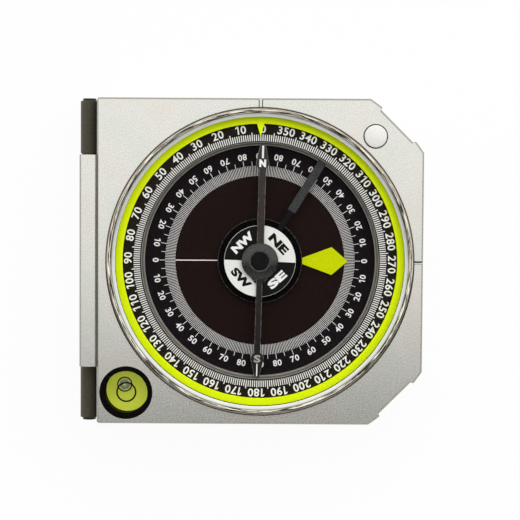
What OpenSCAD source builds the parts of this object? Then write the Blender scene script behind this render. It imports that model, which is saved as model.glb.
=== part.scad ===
// Geological compass with a folding measuring lid, in millimetres.
// The origin lies on the lid's underside, below the dial axis. North is +Y, the hinge is at -X.
// Depths are measured down from the body's top face.

/* [Body] */
// Width and depth of the square body
body_w = 83; // [82:0.5:92]
// Height of the body
body_h = 16; // [15:0.5:20]
// Radial width of the right-hand corners outside the bezel
corner_land = 10.8; // [10.6:0.1:13]
// Radius of the left-hand corners
left_corner_r = 0.8; // [0.4:0.1:1.4]
// Chamfer on the outer edges of the body, the lid and the hinge bracket
edge_chamfer = 0.4; // [0.2:0.05:0.6]
// Depth of a thumb notch below the corner's arc
notch_depth = 1.05; // [0.5:0.05:1.3]
// Length of a thumb notch
notch_len = 11.5; // [6:0.5:15]
// Bevel on the upper edge of a thumb notch
notch_bevel = 0.45; // [0.2:0.05:0.6]
// Width of the engraved line at the north edge
north_line_w = 1; // [0.5:0.1:1.5]
// Width of the engraved line at the east edge
east_line_w = 0.7; // [0.4:0.1:1.5]
// Depth of the engraved lines
line_depth = 0.3; // [0.1:0.05:0.4]
// Floor under the dial plate
floor_t = 2; // [1.6:0.1:2.6]
// Wall between the hollow above the bottom cover and the body's sides
hollow_wall = 8.5; // [8:0.25:12]
// Thickness of the bottom cover
cover_t = 1.6; // [1.2:0.1:2]
// Width of the body's lip round the bottom cover
cover_lip = 1.6; // [1.2:0.1:2]

/* [Lid] */
// Thickness of the lid
lid_t = 8; // [6:0.5:12]
// Gap between the folded lid and the body's underside
fold_gap = 0.3; // [0.2:0.05:1]
// Gap between the closed lid and the body's top face
close_gap = 0.4; // [0.4:0.05:1]
// Room round the bezel in the closed lid
recess_side_gap = 0.8; // [0.5:0.1:1.2]
// Room above the bezel in the closed lid
recess_top_gap = 0.6; // [0.3:0.1:1.5]
// Thickness of the sighting mirror
mirror_t = 1.2; // [0.8:0.1:2]
// Width of the recess floor round the mirror
mirror_margin = 2; // [1:0.25:6]

/* [Hinge] */
// Length of the bracket and of the lid's knuckle
bracket_len = 54; // [40:1:64]
// Radius of a link arm's round ends and of the knuckle
arm_r = 2.3; // [2:0.1:3]
// Radius of the hinge pins
pin_r = 1; // [0.8:0.05:1.2]
// Wall of the bracket outside its pin
bracket_wall = 0.8; // [0.6:0.1:1.2]
// Thickness of the web between knuckle and lid
knuckle_web = 3; // [2:0.25:4]
// Thickness of a friction washer
washer_t = 0.3; // [0.2:0.05:0.6]
// Radius of the screw heads that cap the pins
end_screw_r = 1.7; // [1.4:0.1:1.9]
// Height of the screw heads that cap the pins
end_screw_t = 0.6; // [0.4:0.1:1]

/* [Bezel and lens] */
// Width of the body's top face outside the bezel
bezel_margin = 2.3; // [2.3:0.1:4]
// Width of the bezel seen from above
bezel_w = 2.2; // [2:0.1:3]
// Height of the bezel above the body
bezel_rise = 0.8; // [0.5:0.05:1.1]
// Wall of the bezel's skirt
bezel_wall = 0.9; // [0.6:0.05:1]
// Outer chamfer of the bezel
bezel_chamfer = 0.3; // [0.15:0.05:0.4]
// Width of the bezel's inner slope
bezel_slope = 0.75; // [0.4:0.05:0.9]
// Depth of the lens's upper face
lens_drop = 0.2; // [0.1:0.05:0.4]
// Thickness of the lens
lens_t = 1.6; // [1.2:0.1:2]
// Thickness of the lens gasket
gasket_t = 0.6; // [0.4:0.1:1]
// Width of the lens gasket
gasket_w = 1.3; // [1.1:0.1:1.4]

/* [Scales] */
// Width of the index ring
index_w = 2.3; // [2:0.1:3]
// Thickness of the index ring
index_t = 1; // [0.7:0.1:1.3]
// Width of the ledge that carries the index ring
index_ledge = 0.8; // [0.6:0.05:1]
// Width of the index pointer at its base
pointer_w = 1.9; // [1:0.1:3]
// Length of the index pointer
pointer_len = 3.3; // [2:0.1:4]
// Air between the index ring and the azimuth ring
index_air = 0.4; // [0.3:0.05:0.6]
// Width of the azimuth ring
azimuth_w = 5.85; // [5:0.05:6.5]
// Thickness of the azimuth ring's printed flange
azimuth_flange_t = 0.6; // [0.5:0.05:0.9]
// Thickness of the azimuth ring's toothed part
azimuth_gear_t = 0.8; // [0.7:0.05:1]
// Width of the ledge that carries the azimuth ring
azimuth_ledge = 2.1; // [1.6:0.1:3]
// Width of the rim round the dial plate
rim_w = 0.9; // [0.7:0.05:1.2]
// Height of the rim round the dial plate
rim_h = 2.3; // [1.6:0.1:2.4]
// Thickness of the dial plate
dial_t = 1.2; // [0.9:0.1:1.6]
// Radius of the damping cup below the dial plate
damping_r = 11; // [8:0.5:14]
// Height of the damping cup
damping_h = 1.2; // [0.8:0.1:1.3]
// Wall of the damping cup
damping_wall = 0.5; // [0.3:0.05:0.7]

/* [Needle] */
// Turn of the resting needle, positive is counter-clockwise
needle_heading = -1.3; // [-20:0.1:20]
// Gap between the needle's tips and the outer edge of the dial rim
needle_tip_gap = 0.65; // [0.4:0.05:2]
// Width of the needle's north arm
north_arm_w = 1.85; // [1.2:0.05:2.4]
// Width of the needle's south arm
south_arm_w = 1.6; // [1:0.05:2.4]
// Radius of the lettered pads
pad_r = 1.7; // [1.3:0.05:2]
// Distance from the needle's tip to the centre of its pad
pad_inset = 4.85; // [3:0.05:6]
// Thickness of the needle bar
needle_t = 0.7; // [0.5:0.05:0.8]
// Radius of the needle hub
hub_r = 4.7; // [3.5:0.1:5.5]
// Height of the needle hub
hub_h = 1.2; // [1.1:0.05:1.4]
// Angle from the south arm at which its flare leaves the hub
flare_angle = 60; // [30:1:75]
// Reach of the flare beyond the hub
flare_reach = 1; // [0.4:0.1:2]
// Radius of the cap on the hub
cap_r = 2.3; // [1.6:0.1:2.8]
// Height of the cap on the hub
cap_h = 0.4; // [0.2:0.05:0.6]
// Radius of the quadrant disc
quadrant_r = 9.2; // [7:0.1:10]
// Thickness of the quadrant disc
quadrant_t = 0.4; // [0.3:0.05:0.6]
// Radius of the jewel bearing
jewel_r = 1.25; // [1.1:0.05:1.4]
// Height of the jewel bearing
jewel_h = 1; // [0.8:0.05:1.05]
// Radius of the pivot post's base
post_base_r = 1.6; // [1.3:0.05:1.8]
// Radius of the pivot post where the clinometer turns
post_r = 1.2; // [1:0.05:1.3]
// Radius of the pivot post where the collar slides
post_neck_r = 0.8; // [0.6:0.05:0.9]

/* [Clinometer] */
// Radius of the clinometer's round hub
clino_r = 10.9; // [9.5:0.1:11.5]
// Thickness of the clinometer's round hub
clino_t = 0.6; // [0.4:0.05:0.7]
// Thickness of the kite pointer
kite_t = 0.4; // [0.25:0.05:0.5]
// Width of the kite pointer
kite_w = 7.2; // [4:0.1:9]
// Width of the kite pointer's stem
kite_stem_w = 1.6; // [1:0.1:2.4]
// Gap between the kite's tip and the dial rim
kite_tip_gap = 7.05; // [5:0.05:9]
// Distance from the kite's tip to its widest place
kite_head = 4.15; // [2.5:0.05:6]
// Wall of the clinometer's bush
bush_wall = 0.55; // [0.4:0.05:0.7]

/* [Needle lift] */
// Bearing of the lever, clockwise from north
lever_bearing = 32; // [25:0.5:36]
// Width of the lever's outer bar
lever_w = 2.2; // [1.8:0.1:2.8]
// Width of the lever's inner arm
lever_arm_w = 1.4; // [1:0.1:1.8]
// Thickness of the lever
lever_t = 0.5; // [0.4:0.05:0.6]
// Radius at which the outer bar starts
lever_step_r = 15.15; // [13:0.25:18]
// Radius of the lever's eye
eye_r = 2.6; // [2.4:0.1:3.2]
// Thickness of one of the lever's ears
ear_t = 0.4; // [0.3:0.05:0.5]
// Half length of the lever's ears
ear_half = 1.2; // [0.9:0.05:1.5]
// Radius of the lever's pivot pin
lever_pin_r = 0.35; // [0.25:0.05:0.4]
// Radius of the lift collar
collar_r = 2.4; // [1.8:0.1:2.6]
// Thickness of the lift collar
collar_t = 0.5; // [0.35:0.05:0.6]
// Bearing of the button, clockwise from north
button_bearing = 42.3; // [40:0.1:46]
// Distance from the bezel's edge to the button's centre
button_offset = 4.1; // [4.1:0.05:4.6]
// Radius of the button's cap
button_r = 2.85; // [2.4:0.05:3]
// Gap round the button's cap
button_gap = 0.25; // [0.15:0.05:0.3]
// Height of the button above the body
button_rise = 0.8; // [0.65:0.05:0.9]
// Height of the dome on the button
button_dome = 0.35; // [0.2:0.05:0.5]
// Travel of the button
button_travel = 0.55; // [0.45:0.05:0.6]
// Radius of the button's flange
flange_r = 3.6; // [3.5:0.05:3.65]
// Thickness of the button's flange
flange_t = 0.5; // [0.4:0.05:0.7]
// Radius of the button's stem
stem_r = 1.3; // [1:0.05:1.5]
// Thickness of the bushing that guides the stem
bushing_t = 0.5; // [0.4:0.05:0.6]
// Radius of the return spring's coil
spring_r = 2.6; // [2.3:0.05:2.9]
// Diameter of the return spring's wire
spring_wire = 0.25; // [0.2:0.05:0.3]
// Turns of the return spring
spring_turns = 3; // [2:1:3]

/* [Declination drive] */
// Module of the teeth
gear_module = 0.6; // [0.5:0.05:0.7]
// Teeth on the pinion
pinion_teeth = 12; // [11:1:13]
// Largest declination to either side
declination_max = 30; // [10:1:35]
// Radius of the shaft's journal in the pinion
journal_r = 1; // [0.8:0.05:1.3]
// Radius of the shaft below the pinion
shaft_r = 1.5; // [1.4:0.05:1.9]
// Radius of the shaft's slotted head
shaft_head_r = 2.2; // [2:0.1:2.6]

/* [Level] */
// Radius of the level's cup
level_r = 6.7; // [5:0.1:7]
// Wall of the level's cup
level_wall = 1.2; // [0.8:0.05:1.6]
// Depth of the level's cup
level_h = 9.5; // [8:0.25:10]
// Body wall left of the level
level_side_wall = 0.75; // [0.6:0.05:1.5]
// Body wall in front of the level
level_front_wall = 1.15; // [0.6:0.05:1.5]
// Depth of the level's window
window_drop = 0.3; // [0.1:0.05:0.8]
// Thickness of the level's window
window_t = 1.2; // [0.8:0.1:2]
// Thickness of the coloured plug at the level's bottom
plug_t = 3.2; // [2:0.1:4]

/* [Fasteners] */
// Radius of the countersunk screws
screw_r = 1; // [0.8:0.05:1.1]
// Radius of the screws' heads
screw_head_r = 1.9; // [1.6:0.05:2]
// Length of the bottom cover's screws
cover_screw_len = 5; // [4:0.25:5.25]
// Distance of the bottom cover's screws from its front and back edges
cover_screw_inset = 3.9; // [3.4:0.1:4.5]
// Half the spacing of the bottom cover's screws across the body
cover_screw_x = 20; // [16:0.5:22]
// Length of the bracket's screws
bracket_screw_len = 10; // [8:0.25:11]
// Spacing of the bracket's screws
bracket_screw_pitch = 18; // [12:0.5:20]
// Width of the slots in screw heads
slot_w = 0.5; // [0.3:0.05:0.7]
// Depth of the slots in screw heads
slot_depth = 0.35; // [0.2:0.05:0.4]

/* [Clearances] */
// Radial clearance of a shaft that turns or slides in its hole
run_gap = 0.05; // [0.03:0.01:0.08]
// Clearance of a piece that is seated and doesn't move
seat_gap = 0.05; // [0.03:0.01:0.1]
// Radial clearance of the large turning ring
ring_gap = 0.1; // [0.08:0.01:0.15]
// Clearance between pieces that pass each other
pass_gap = 0.3; // [0.25:0.05:0.4]
// Clearance between pieces of the needle lift at rest
lift_gap = 0.15; // [0.12:0.01:0.2]

/* [Hidden] */
$fn = 96;

// Small overshoot of cutting solids
over = 0.02;
// Slope of the thumb notches' end walls
notch_end_slope = 0.5;

// Heights of body and lid
body_z = lid_t + fold_gap;
body_top = body_z + body_h;
half_w = body_w / 2;

// Radii of the dial, from the bezel inwards
bezel_r = half_w - bezel_margin;
bezel_seat_r = bezel_r + seat_gap;
bezel_bore_r = bezel_r - bezel_w;
corner_arc_r = bezel_r + corner_land;
lens_r = bezel_r - bezel_wall - seat_gap;
gasket_inner_r = lens_r - gasket_w;
index_r = lens_r - index_ledge;
index_inner_r = index_r - index_w;
ring_bore_r = index_r - index_ledge;
azimuth_r = ring_bore_r - ring_gap;
azimuth_inner_r = azimuth_r - azimuth_w;
dial_seat_r = ring_bore_r - azimuth_ledge;
dial_r = dial_seat_r - seat_gap;
rim_r = azimuth_inner_r - ring_gap;
rim_inner_r = rim_r - rim_w;
hollow_r = half_w - hollow_wall;

// Depths of the dial, from the top face downwards
lens_bottom_d = lens_drop + lens_t;
bezel_seat_d = lens_bottom_d + gasket_t;
index_bottom_d = bezel_seat_d + index_t;
azimuth_top_d = index_bottom_d + index_air;
azimuth_step_d = azimuth_top_d + azimuth_flange_t;
azimuth_bottom_d = azimuth_step_d + azimuth_gear_t;
azimuth_ledge_d = azimuth_bottom_d + seat_gap;

// Clinometer radii
kite_tip_r = rim_inner_r - kite_tip_gap;
kite_wide_r = kite_tip_r - kite_head;
bush_bore_r = post_r + run_gap;
bush_r = bush_bore_r + bush_wall;

// Needle lift, along the lever's own line u and across it v
button_u = bezel_r + button_offset;
foot_u = button_u * cos(button_bearing - lever_bearing);
foot_v = -button_u * sin(button_bearing - lever_bearing);
lever_pivot_u = kite_tip_r + pass_gap + ear_half;
lever_knee_u = dial_seat_r;
needle_lift = button_travel * lever_pivot_u / (foot_u - lever_pivot_u);

// Jewel left above the pivot's tip, and the flat on that tip
jewel_skin = 0.3;
tip_flat_r = 0.05;

// Depths of the needle and of what lifts it
cap_top_d = lens_bottom_d + needle_lift + lift_gap;
hub_top_d = cap_top_d + cap_h;
hub_bottom_d = hub_top_d + hub_h;
bar_bottom_d = hub_bottom_d;
bar_top_d = bar_bottom_d - needle_t;
quadrant_bottom_d = hub_bottom_d + quadrant_t;
collar_top_d = quadrant_bottom_d + lift_gap;
collar_bottom_d = collar_top_d + collar_t;
lever_top_d = max(collar_bottom_d + lift_gap, azimuth_ledge_d + pass_gap);
lever_bottom_d = lever_top_d + lever_t;
clino_top_d = lever_bottom_d + lift_gap;
clino_bottom_d = clino_top_d + clino_t;
kite_bottom_d = clino_bottom_d + kite_t;
dial_top_d = kite_bottom_d + pass_gap;
dial_bottom_d = dial_top_d + dial_t;
floor_bottom_d = dial_bottom_d + floor_t;
cover_top_d = body_h - cover_t;
post_bottom_d = dial_bottom_d + damping_h + pass_gap;
post_tip_d = hub_bottom_d - jewel_h + jewel_skin + seat_gap;

// Needle lengths
needle_len = rim_r - needle_tip_gap;
pad_u = needle_len - pad_inset;

// Lever's pivot and foot, and the button's well
foot_r = stem_r + pass_gap;
lever_pin_d = (lever_bottom_d + dial_top_d) / 2;
lever_post_w = lever_w - 2 * ear_t - 2 * run_gap;
lever_drop = button_travel + pass_gap;
button_shoulder_d = bezel_seat_d + seat_gap;
flange_top_d = button_shoulder_d + seat_gap;
flange_bottom_d = flange_top_d + flange_t;
well_r = flange_r + lift_gap;
stem_bottom_d = lever_top_d - lift_gap;
bushing_bottom_d = stem_bottom_d - seat_gap;
bushing_top_d = bushing_bottom_d - bushing_t;

// Declination teeth
tooth_pitch = PI * gear_module;
tooth_tip = 0.83 * gear_module;
tooth_root = 1.17 * gear_module;
tooth_w = 0.38 * tooth_pitch;
tooth_tip_w = 0.5 * gear_module;
ring_teeth = round(2 * (azimuth_r - tooth_tip) / gear_module);
ring_pitch_r = ring_teeth * gear_module / 2;
pinion_pitch_r = pinion_teeth * gear_module / 2;
pinion_u = ring_pitch_r + pinion_pitch_r;
pinion_bearing = 315;
sector_teeth = ceil((declination_max + 10) / 360 * ring_teeth);
pinion_top_d = azimuth_step_d + run_gap;
pinion_bottom_d = azimuth_bottom_d - run_gap;
pinion_well_r = pinion_pitch_r + tooth_tip + pass_gap;
pinion_well_d = azimuth_step_d - pass_gap;
journal_top_d = bezel_seat_d;
shaft_head_t = cover_t;

// Level
level_bore_r = level_r + seat_gap;
level_x = -(half_w - level_side_wall - level_bore_r);
level_y = -(half_w - level_front_wall - level_bore_r);
level_inner_r = level_r - level_wall;
level_fill_r = level_inner_r - seat_gap;
window_bottom_d = window_drop + window_t;
plug_top_d = level_h - level_wall / 2 - plug_t;

// Hinge
axis_x = -(half_w + pass_gap + arm_r);
lower_z = lid_t / 2;
upper_z = lower_z + (body_top + close_gap) / 2;
bracket_x = axis_x - pin_r - bracket_wall;
bracket_half = bracket_len / 2;
arm_in_y = bracket_half + washer_t + run_gap;
arm_out_y = half_w - end_screw_t;
pin_hole_r = pin_r + run_gap;
bracket_screw_z = (body_z + upper_z - pin_r) / 2;
screw_head_t = screw_head_r - screw_r;

// Lid
recess_r = bezel_r + recess_side_gap;
recess_d = bezel_rise - close_gap + recess_top_gap;
mirror_r = recess_r - mirror_margin;

// Height above the lid's underside of a depth below the top face
function z_at(d) = body_top - d;

// Disc between two depths
module disc(r, d_top, d_bottom) {
    translate([0, 0, z_at(d_bottom)])
        cylinder(r = r, h = d_bottom - d_top);
}

// Flat ring between two depths
module flat_ring(r, r_in, d_top, d_bottom) {
    difference() {
        disc(r, d_top, d_bottom);
        disc(r_in, d_top - over, d_bottom + over);
    }
}

// Outline extruded between two depths
module slab(d_top, d_bottom) {
    translate([0, 0, z_at(d_bottom)])
        linear_extrude(d_bottom - d_top)
            children();
}

// Turned piece whose points are radius and depth
module turned(points) {
    rotate_extrude()
        polygon([for (p = points) [p[0], z_at(p[1])]]);
}

// Places its children on a bearing clockwise from north, with their X axis pointing outwards
module on_bearing(bearing) {
    rotate([0, 0, 90 - bearing])
        children();
}

// Square outline with small left corners and right corners turned about the dial axis
module square_outline(inset = 0) {
    half = half_w - inset;
    corner = max(left_corner_r - inset, edge_chamfer);
    translate([corner - half, -half])
        square([half - corner, 2 * half]);
    translate([-half, corner - half])
        square([half, 2 * half - 2 * corner]);
    for (side = [-1, 1])
        translate([corner - half, side * (half - corner)])
            circle(corner);
    intersection() {
        translate([-half / 2, -half])
            square([1.5 * half, 2 * half]);
        circle(corner_arc_r - inset);
    }
}

// Side profile of a block with chamfered edges
module chamfered_profile(half, z0, z1) {
    c = edge_chamfer;
    polygon([
        [-half, z0 + c], [c - half, z0], [half - c, z0], [half, z0 + c],
        [half, z1 - c], [half - c, z1], [c - half, z1], [-half, z1 - c]
    ]);
}

// Block of the common outline with chamfered upper and lower edges
module outline_block(z0, z1) {
    c = edge_chamfer;
    r = corner_arc_r;
    intersection() {
        translate([0, 0, z0])
            linear_extrude(z1 - z0)
                square_outline();
        chamfered_box(z0, z1);
        union() {
            translate([-half_w, -half_w, z0])
                cube([half_w, body_w, z1 - z0]);
            rotate_extrude()
                polygon([[0, z0], [r - c, z0], [r, z0 + c], [r, z1 - c], [r - c, z1], [0, z1]]);
        }
    }
}

// Prism along Y cut by the same prism along X
module chamfered_box(z0, z1) {
    intersection() {
        rotate([90, 0, 0])
            linear_extrude(body_w, center = true)
                chamfered_profile(half_w, z0, z1);
        rotate([90, 0, 90])
            linear_extrude(body_w, center = true)
                chamfered_profile(half_w, z0, z1);
    }
}

// Cut for one thumb notch on the local X axis
module notch_cut() {
    flat = corner_arc_r - notch_depth;
    reach = 2 * notch_depth;
    half = notch_len / 2;
    wide = half + reach * notch_end_slope;
    translate([0, 0, body_z - over])
        linear_extrude(body_h + 2 * over)
            polygon([[flat, -half], [flat + reach, -wide], [flat + reach, wide], [flat, half]]);
    rotate([90, 0, 0])
        linear_extrude(notch_len, center = true)
            polygon([
                [flat - notch_bevel - over, body_top + over], [flat + over, body_top - notch_bevel],
                [flat + reach, body_top - notch_bevel], [flat + reach, body_top + over]
            ]);
}

// Countersunk screw along -Z with its head's face at the origin
module countersunk_screw(len) {
    difference() {
        union() {
            translate([0, 0, -len])
                cylinder(r = screw_r, h = len);
            translate([0, 0, -screw_head_t])
                cylinder(r1 = screw_r, r2 = screw_head_r, h = screw_head_t);
        }
        head_slot(screw_head_r);
    }
}

// Hole for a countersunk screw
module countersunk_hole(len) {
    gap = seat_gap;
    translate([0, 0, -len - gap])
        cylinder(r = screw_r + gap, h = len + gap);
    translate([0, 0, -screw_head_t])
        cylinder(r1 = screw_r + gap, r2 = screw_head_r + gap, h = screw_head_t);
    cylinder(r = screw_head_r + gap, h = screw_head_t);
}

// Screwdriver slot cut into a face at the origin
module head_slot(r) {
    translate([-r - over, -slot_w / 2, -slot_depth])
        cube([2 * (r + over), slot_w, slot_depth + over]);
}

// Places for the bottom cover's screws, with Z pointing out of the underside
module at_cover_screws() {
    y = half_w - cover_lip - cover_screw_inset;
    for (sx = [-1, 1])
        for (sy = [-1, 1])
            translate([sx * cover_screw_x, sy * y, body_z])
                mirror([0, 0, 1])
                    children();
}

// Places for the bracket's screws, with Z pointing out of its left face
module at_bracket_screws() {
    for (i = [-1 : 1])
        translate([bracket_x, i * bracket_screw_pitch, bracket_screw_z])
            rotate([0, -90, 0])
                children();
}

// Places its children at the level
module at_level() {
    translate([level_x, level_y, 0])
        children();
}

// Places its children at the button
module at_button() {
    on_bearing(button_bearing)
        translate([button_u, 0, 0])
            children();
}

// Places its children at the pinion
module at_pinion() {
    on_bearing(pinion_bearing)
        translate([pinion_u, 0, 0])
            children();
}

// Cylinder along Y on one of the hinge's axes
module along_hinge(z, r, y0, y1) {
    translate([axis_x, y0, z])
        rotate([-90, 0, 0])
            cylinder(r = r, h = y1 - y0);
}

// Lever seen from above, along the local X axis; grow widens it for its slot
module lever_outline(grow = 0) {
    translate([0, -lever_w / 2 - grow])
        square([lever_knee_u, lever_w + 2 * grow]);
    translate([lever_knee_u, 0])
        rotate([0, 0, atan2(foot_v, foot_u - lever_knee_u)])
            translate([0, -lever_w / 2 - grow])
                square([norm([foot_u - lever_knee_u, foot_v]), lever_w + 2 * grow]);
    translate([lever_knee_u, 0])
        circle(lever_w / 2 + grow);
    translate([foot_u, foot_v])
        circle(foot_r + grow);
}

// One straight-flanked tooth on the local X axis
module tooth(pitch_r, root_grow) {
    base_w = tooth_w + root_grow;
    polygon([
        [pitch_r - tooth_root - root_grow, -base_w / 2], [pitch_r, -tooth_w / 2],
        [pitch_r + tooth_tip, -tooth_tip_w / 2], [pitch_r + tooth_tip, tooth_tip_w / 2],
        [pitch_r, tooth_w / 2], [pitch_r - tooth_root - root_grow, base_w / 2]
    ]);
}

module body_housing() {
    color("gainsboro")
        difference() {
            outline_block(body_z, body_top);
            for (side = [-45, 45])
                rotate([0, 0, side])
                    notch_cut();
            dial_cuts();
            button_cuts();
            at_pinion()
                disc(pinion_well_r, pinion_well_d, body_h + over);
            at_pinion()
                disc(journal_r + run_gap, journal_top_d - run_gap, body_h + over);
            at_level()
                disc(level_bore_r, -over, level_h + seat_gap);
            disc(hollow_r, floor_bottom_d, body_h + over);
            slab(cover_top_d, body_h + over)
                square_outline(cover_lip);
            engraved_lines();
            at_cover_screws()
                countersunk_hole(cover_screw_len);
            at_bracket_screws()
                countersunk_hole(bracket_screw_len);
        }
}

// Stepped bore of the housing, from the bezel's seat to the damping cup's pocket
module dial_cuts() {
    disc(bezel_seat_r, -over, bezel_seat_d);
    disc(index_r + seat_gap, bezel_seat_d - over, index_bottom_d);
    disc(ring_bore_r, index_bottom_d - over, azimuth_ledge_d);
    disc(dial_seat_r, azimuth_ledge_d - over, dial_bottom_d);
    disc(damping_r + seat_gap, dial_bottom_d - over, dial_bottom_d + damping_h);
    disc(post_base_r + seat_gap, dial_bottom_d, post_bottom_d);
}

// Button's bore and well, and the lever's slot
module button_cuts() {
    at_button() {
        disc(button_r + button_gap, -over, button_shoulder_d + over);
        disc(well_r, button_shoulder_d, body_h + over);
    }
    on_bearing(lever_bearing)
        slab(azimuth_ledge_d - over, lever_bottom_d + lever_drop)
            lever_outline(pass_gap);
}

// Index lines at the north and east edges
module engraved_lines() {
    length = half_w;
    translate([-north_line_w / 2, bezel_r, body_top - line_depth])
        cube([north_line_w, length, line_depth + over]);
    translate([bezel_r, -east_line_w / 2, body_top - line_depth])
        cube([length, east_line_w, line_depth + over]);
}

module bottom_cover() {
    color("silver")
        difference() {
            slab(cover_top_d, body_h)
                square_outline(cover_lip + seat_gap);
            at_cover_screws()
                countersunk_hole(cover_screw_len);
            at_pinion()
                disc(shaft_head_r + run_gap, cover_top_d - over, body_h + over);
        }
}

module bottom_cover_screws() {
    color("dimgray")
        at_cover_screws()
            countersunk_screw(cover_screw_len);
}

module hinge_bracket() {
    c = edge_chamfer;
    z0 = body_z + pass_gap;
    color("gainsboro")
        difference() {
            rotate([90, 0, 0])
                linear_extrude(bracket_len, center = true)
                    polygon([
                        [bracket_x, z0], [-half_w, z0], [-half_w, body_top - c],
                        [-half_w - c, body_top], [bracket_x + c, body_top], [bracket_x, body_top - c]
                    ]);
            along_hinge(upper_z, pin_hole_r, -half_w, half_w);
            at_bracket_screws()
                countersunk_hole(bracket_screw_len);
        }
}

module bracket_screws() {
    color("dimgray")
        at_bracket_screws()
            countersunk_screw(bracket_screw_len);
}

// Pair of washers at the two ends of a bracket or knuckle
module hinge_washers(z) {
    for (side = [0, 1])
        mirror([0, side, 0])
            difference() {
                along_hinge(z, arm_r - pass_gap, bracket_half, bracket_half + washer_t);
                along_hinge(z, pin_hole_r, bracket_half - over, bracket_half + washer_t + over);
            }
}

module upper_hinge_washers() {
    color("darkgoldenrod")
        hinge_washers(upper_z);
}

module lower_hinge_washers() {
    color("darkgoldenrod")
        hinge_washers(lower_z);
}

module bezel_ring() {
    skirt_r = bezel_r - bezel_wall;
    slope_top_r = bezel_bore_r + bezel_slope;
    color("whitesmoke")
        turned([
            [skirt_r, bezel_seat_d], [bezel_r, bezel_seat_d], [bezel_r, bezel_chamfer - bezel_rise],
            [bezel_r - bezel_chamfer, -bezel_rise], [slope_top_r, -bezel_rise],
            [bezel_bore_r, 0], [bezel_bore_r, lens_drop], [skirt_r, lens_drop]
        ]);
}

module crystal_lens() {
    color("lightcyan", 0.3)
        disc(lens_r, lens_drop, lens_bottom_d);
}

module lens_gasket() {
    color("black")
        flat_ring(lens_r, gasket_inner_r, lens_bottom_d, bezel_seat_d);
}

module index_ring() {
    color("yellowgreen")
        slab(bezel_seat_d, index_bottom_d) {
            difference() {
                circle(index_r);
                circle(index_inner_r);
            }
            polygon([
                [-pointer_w / 2, index_inner_r], [0, index_inner_r - pointer_len],
                [pointer_w / 2, index_inner_r], [pointer_w / 2, index_inner_r + index_w / 2],
                [-pointer_w / 2, index_inner_r + index_w / 2]
            ]);
        }
}

module dial_plate() {
    color([0.12, 0.1, 0.1])
        flat_ring(dial_r, post_base_r + seat_gap, dial_top_d, dial_bottom_d);
}

module dial_rim() {
    lip = rim_w / 3;
    color("gray")
        difference() {
            turned([
                [rim_inner_r, dial_top_d], [rim_r, dial_top_d], [rim_r, dial_top_d - rim_h],
                [rim_r - lip, dial_top_d - rim_h], [rim_inner_r, dial_top_d - rim_h / 2]
            ]);
            on_bearing(lever_bearing)
                slab(dial_top_d - rim_h - over, dial_top_d + over)
                    translate([0, -lever_w / 2 - pass_gap])
                        square([half_w, lever_w + 2 * pass_gap]);
        }
}

module damping_cup() {
    color("peru")
        difference() {
            flat_ring(damping_r, post_base_r + seat_gap, dial_bottom_d, dial_bottom_d + damping_h);
            flat_ring(damping_r - damping_wall, post_base_r + damping_wall, dial_bottom_d - over,
                dial_bottom_d + damping_h - damping_wall);
        }
}

module pivot_post() {
    neck_d = collar_bottom_d + lift_gap / 2;
    cone_d = post_tip_d + post_neck_r;
    color("goldenrod")
        turned([
            [0, post_bottom_d], [post_base_r, post_bottom_d], [post_base_r, dial_top_d],
            [post_r, dial_top_d], [post_r, neck_d], [post_neck_r, neck_d], [post_neck_r, cone_d],
            [tip_flat_r, post_tip_d], [0, post_tip_d]
        ]);
}

// Block that carries the lever's pin
module lever_post() {
    color("dimgray")
        on_bearing(lever_bearing)
            difference() {
                translate([lever_pivot_u - ear_half / 2, -lever_post_w / 2, z_at(dial_top_d)])
                    cube([ear_half, lever_post_w, dial_top_d - lever_bottom_d - lift_gap]);
                lever_pin_hole(seat_gap);
            }
}

// Cylinder of the lever's pin, widened by gap
module lever_pin_hole(gap) {
    translate([lever_pivot_u, 0, z_at(lever_pin_d)])
        rotate([90, 0, 0])
            cylinder(r = lever_pin_r + gap, h = lever_w + 2 * gap, center = true);
}

module lever_pin() {
    color("silver")
        on_bearing(lever_bearing)
            lever_pin_hole(0);
}

module level_cup() {
    color([0.05, 0.05, 0.05])
        at_level()
            difference() {
                disc(level_r, 0, level_h);
                disc(level_inner_r, -over, level_h - level_wall / 2);
            }
}

module level_plug() {
    color("yellowgreen")
        at_level()
            disc(level_fill_r, plug_top_d, plug_top_d + plug_t);
}

module level_fluid() {
    color("khaki", 0.5)
        at_level()
            disc(level_fill_r, window_bottom_d, plug_top_d);
}

module level_window() {
    color("lightcyan", 0.3)
        at_level()
            disc(level_fill_r, window_drop, window_bottom_d);
}

module button_bushing() {
    color("goldenrod")
        at_button()
            flat_ring(well_r - seat_gap, stem_r + run_gap, bushing_top_d, bushing_bottom_d);
}

// Points of the return spring's wire, ring by ring
spring_sides = 6;
spring_steps = 14;
spring_rings = spring_turns * spring_steps;
spring_low_z = z_at(bushing_top_d) + spring_wire / 2 + run_gap;
spring_high_z = z_at(flange_bottom_d) - spring_wire / 2 - run_gap;
function spring_point(i, k) =
    let (turn = 360 * i / spring_steps, side = 360 * k / spring_sides)
    let (r = spring_r + spring_wire / 2 * cos(side))
    let (z = spring_low_z + (spring_high_z - spring_low_z) * i / spring_rings)
    [r * cos(turn), r * sin(turn), z + spring_wire / 2 * sin(side)];
function spring_index(i, k) = i * spring_sides + k % spring_sides;

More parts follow.
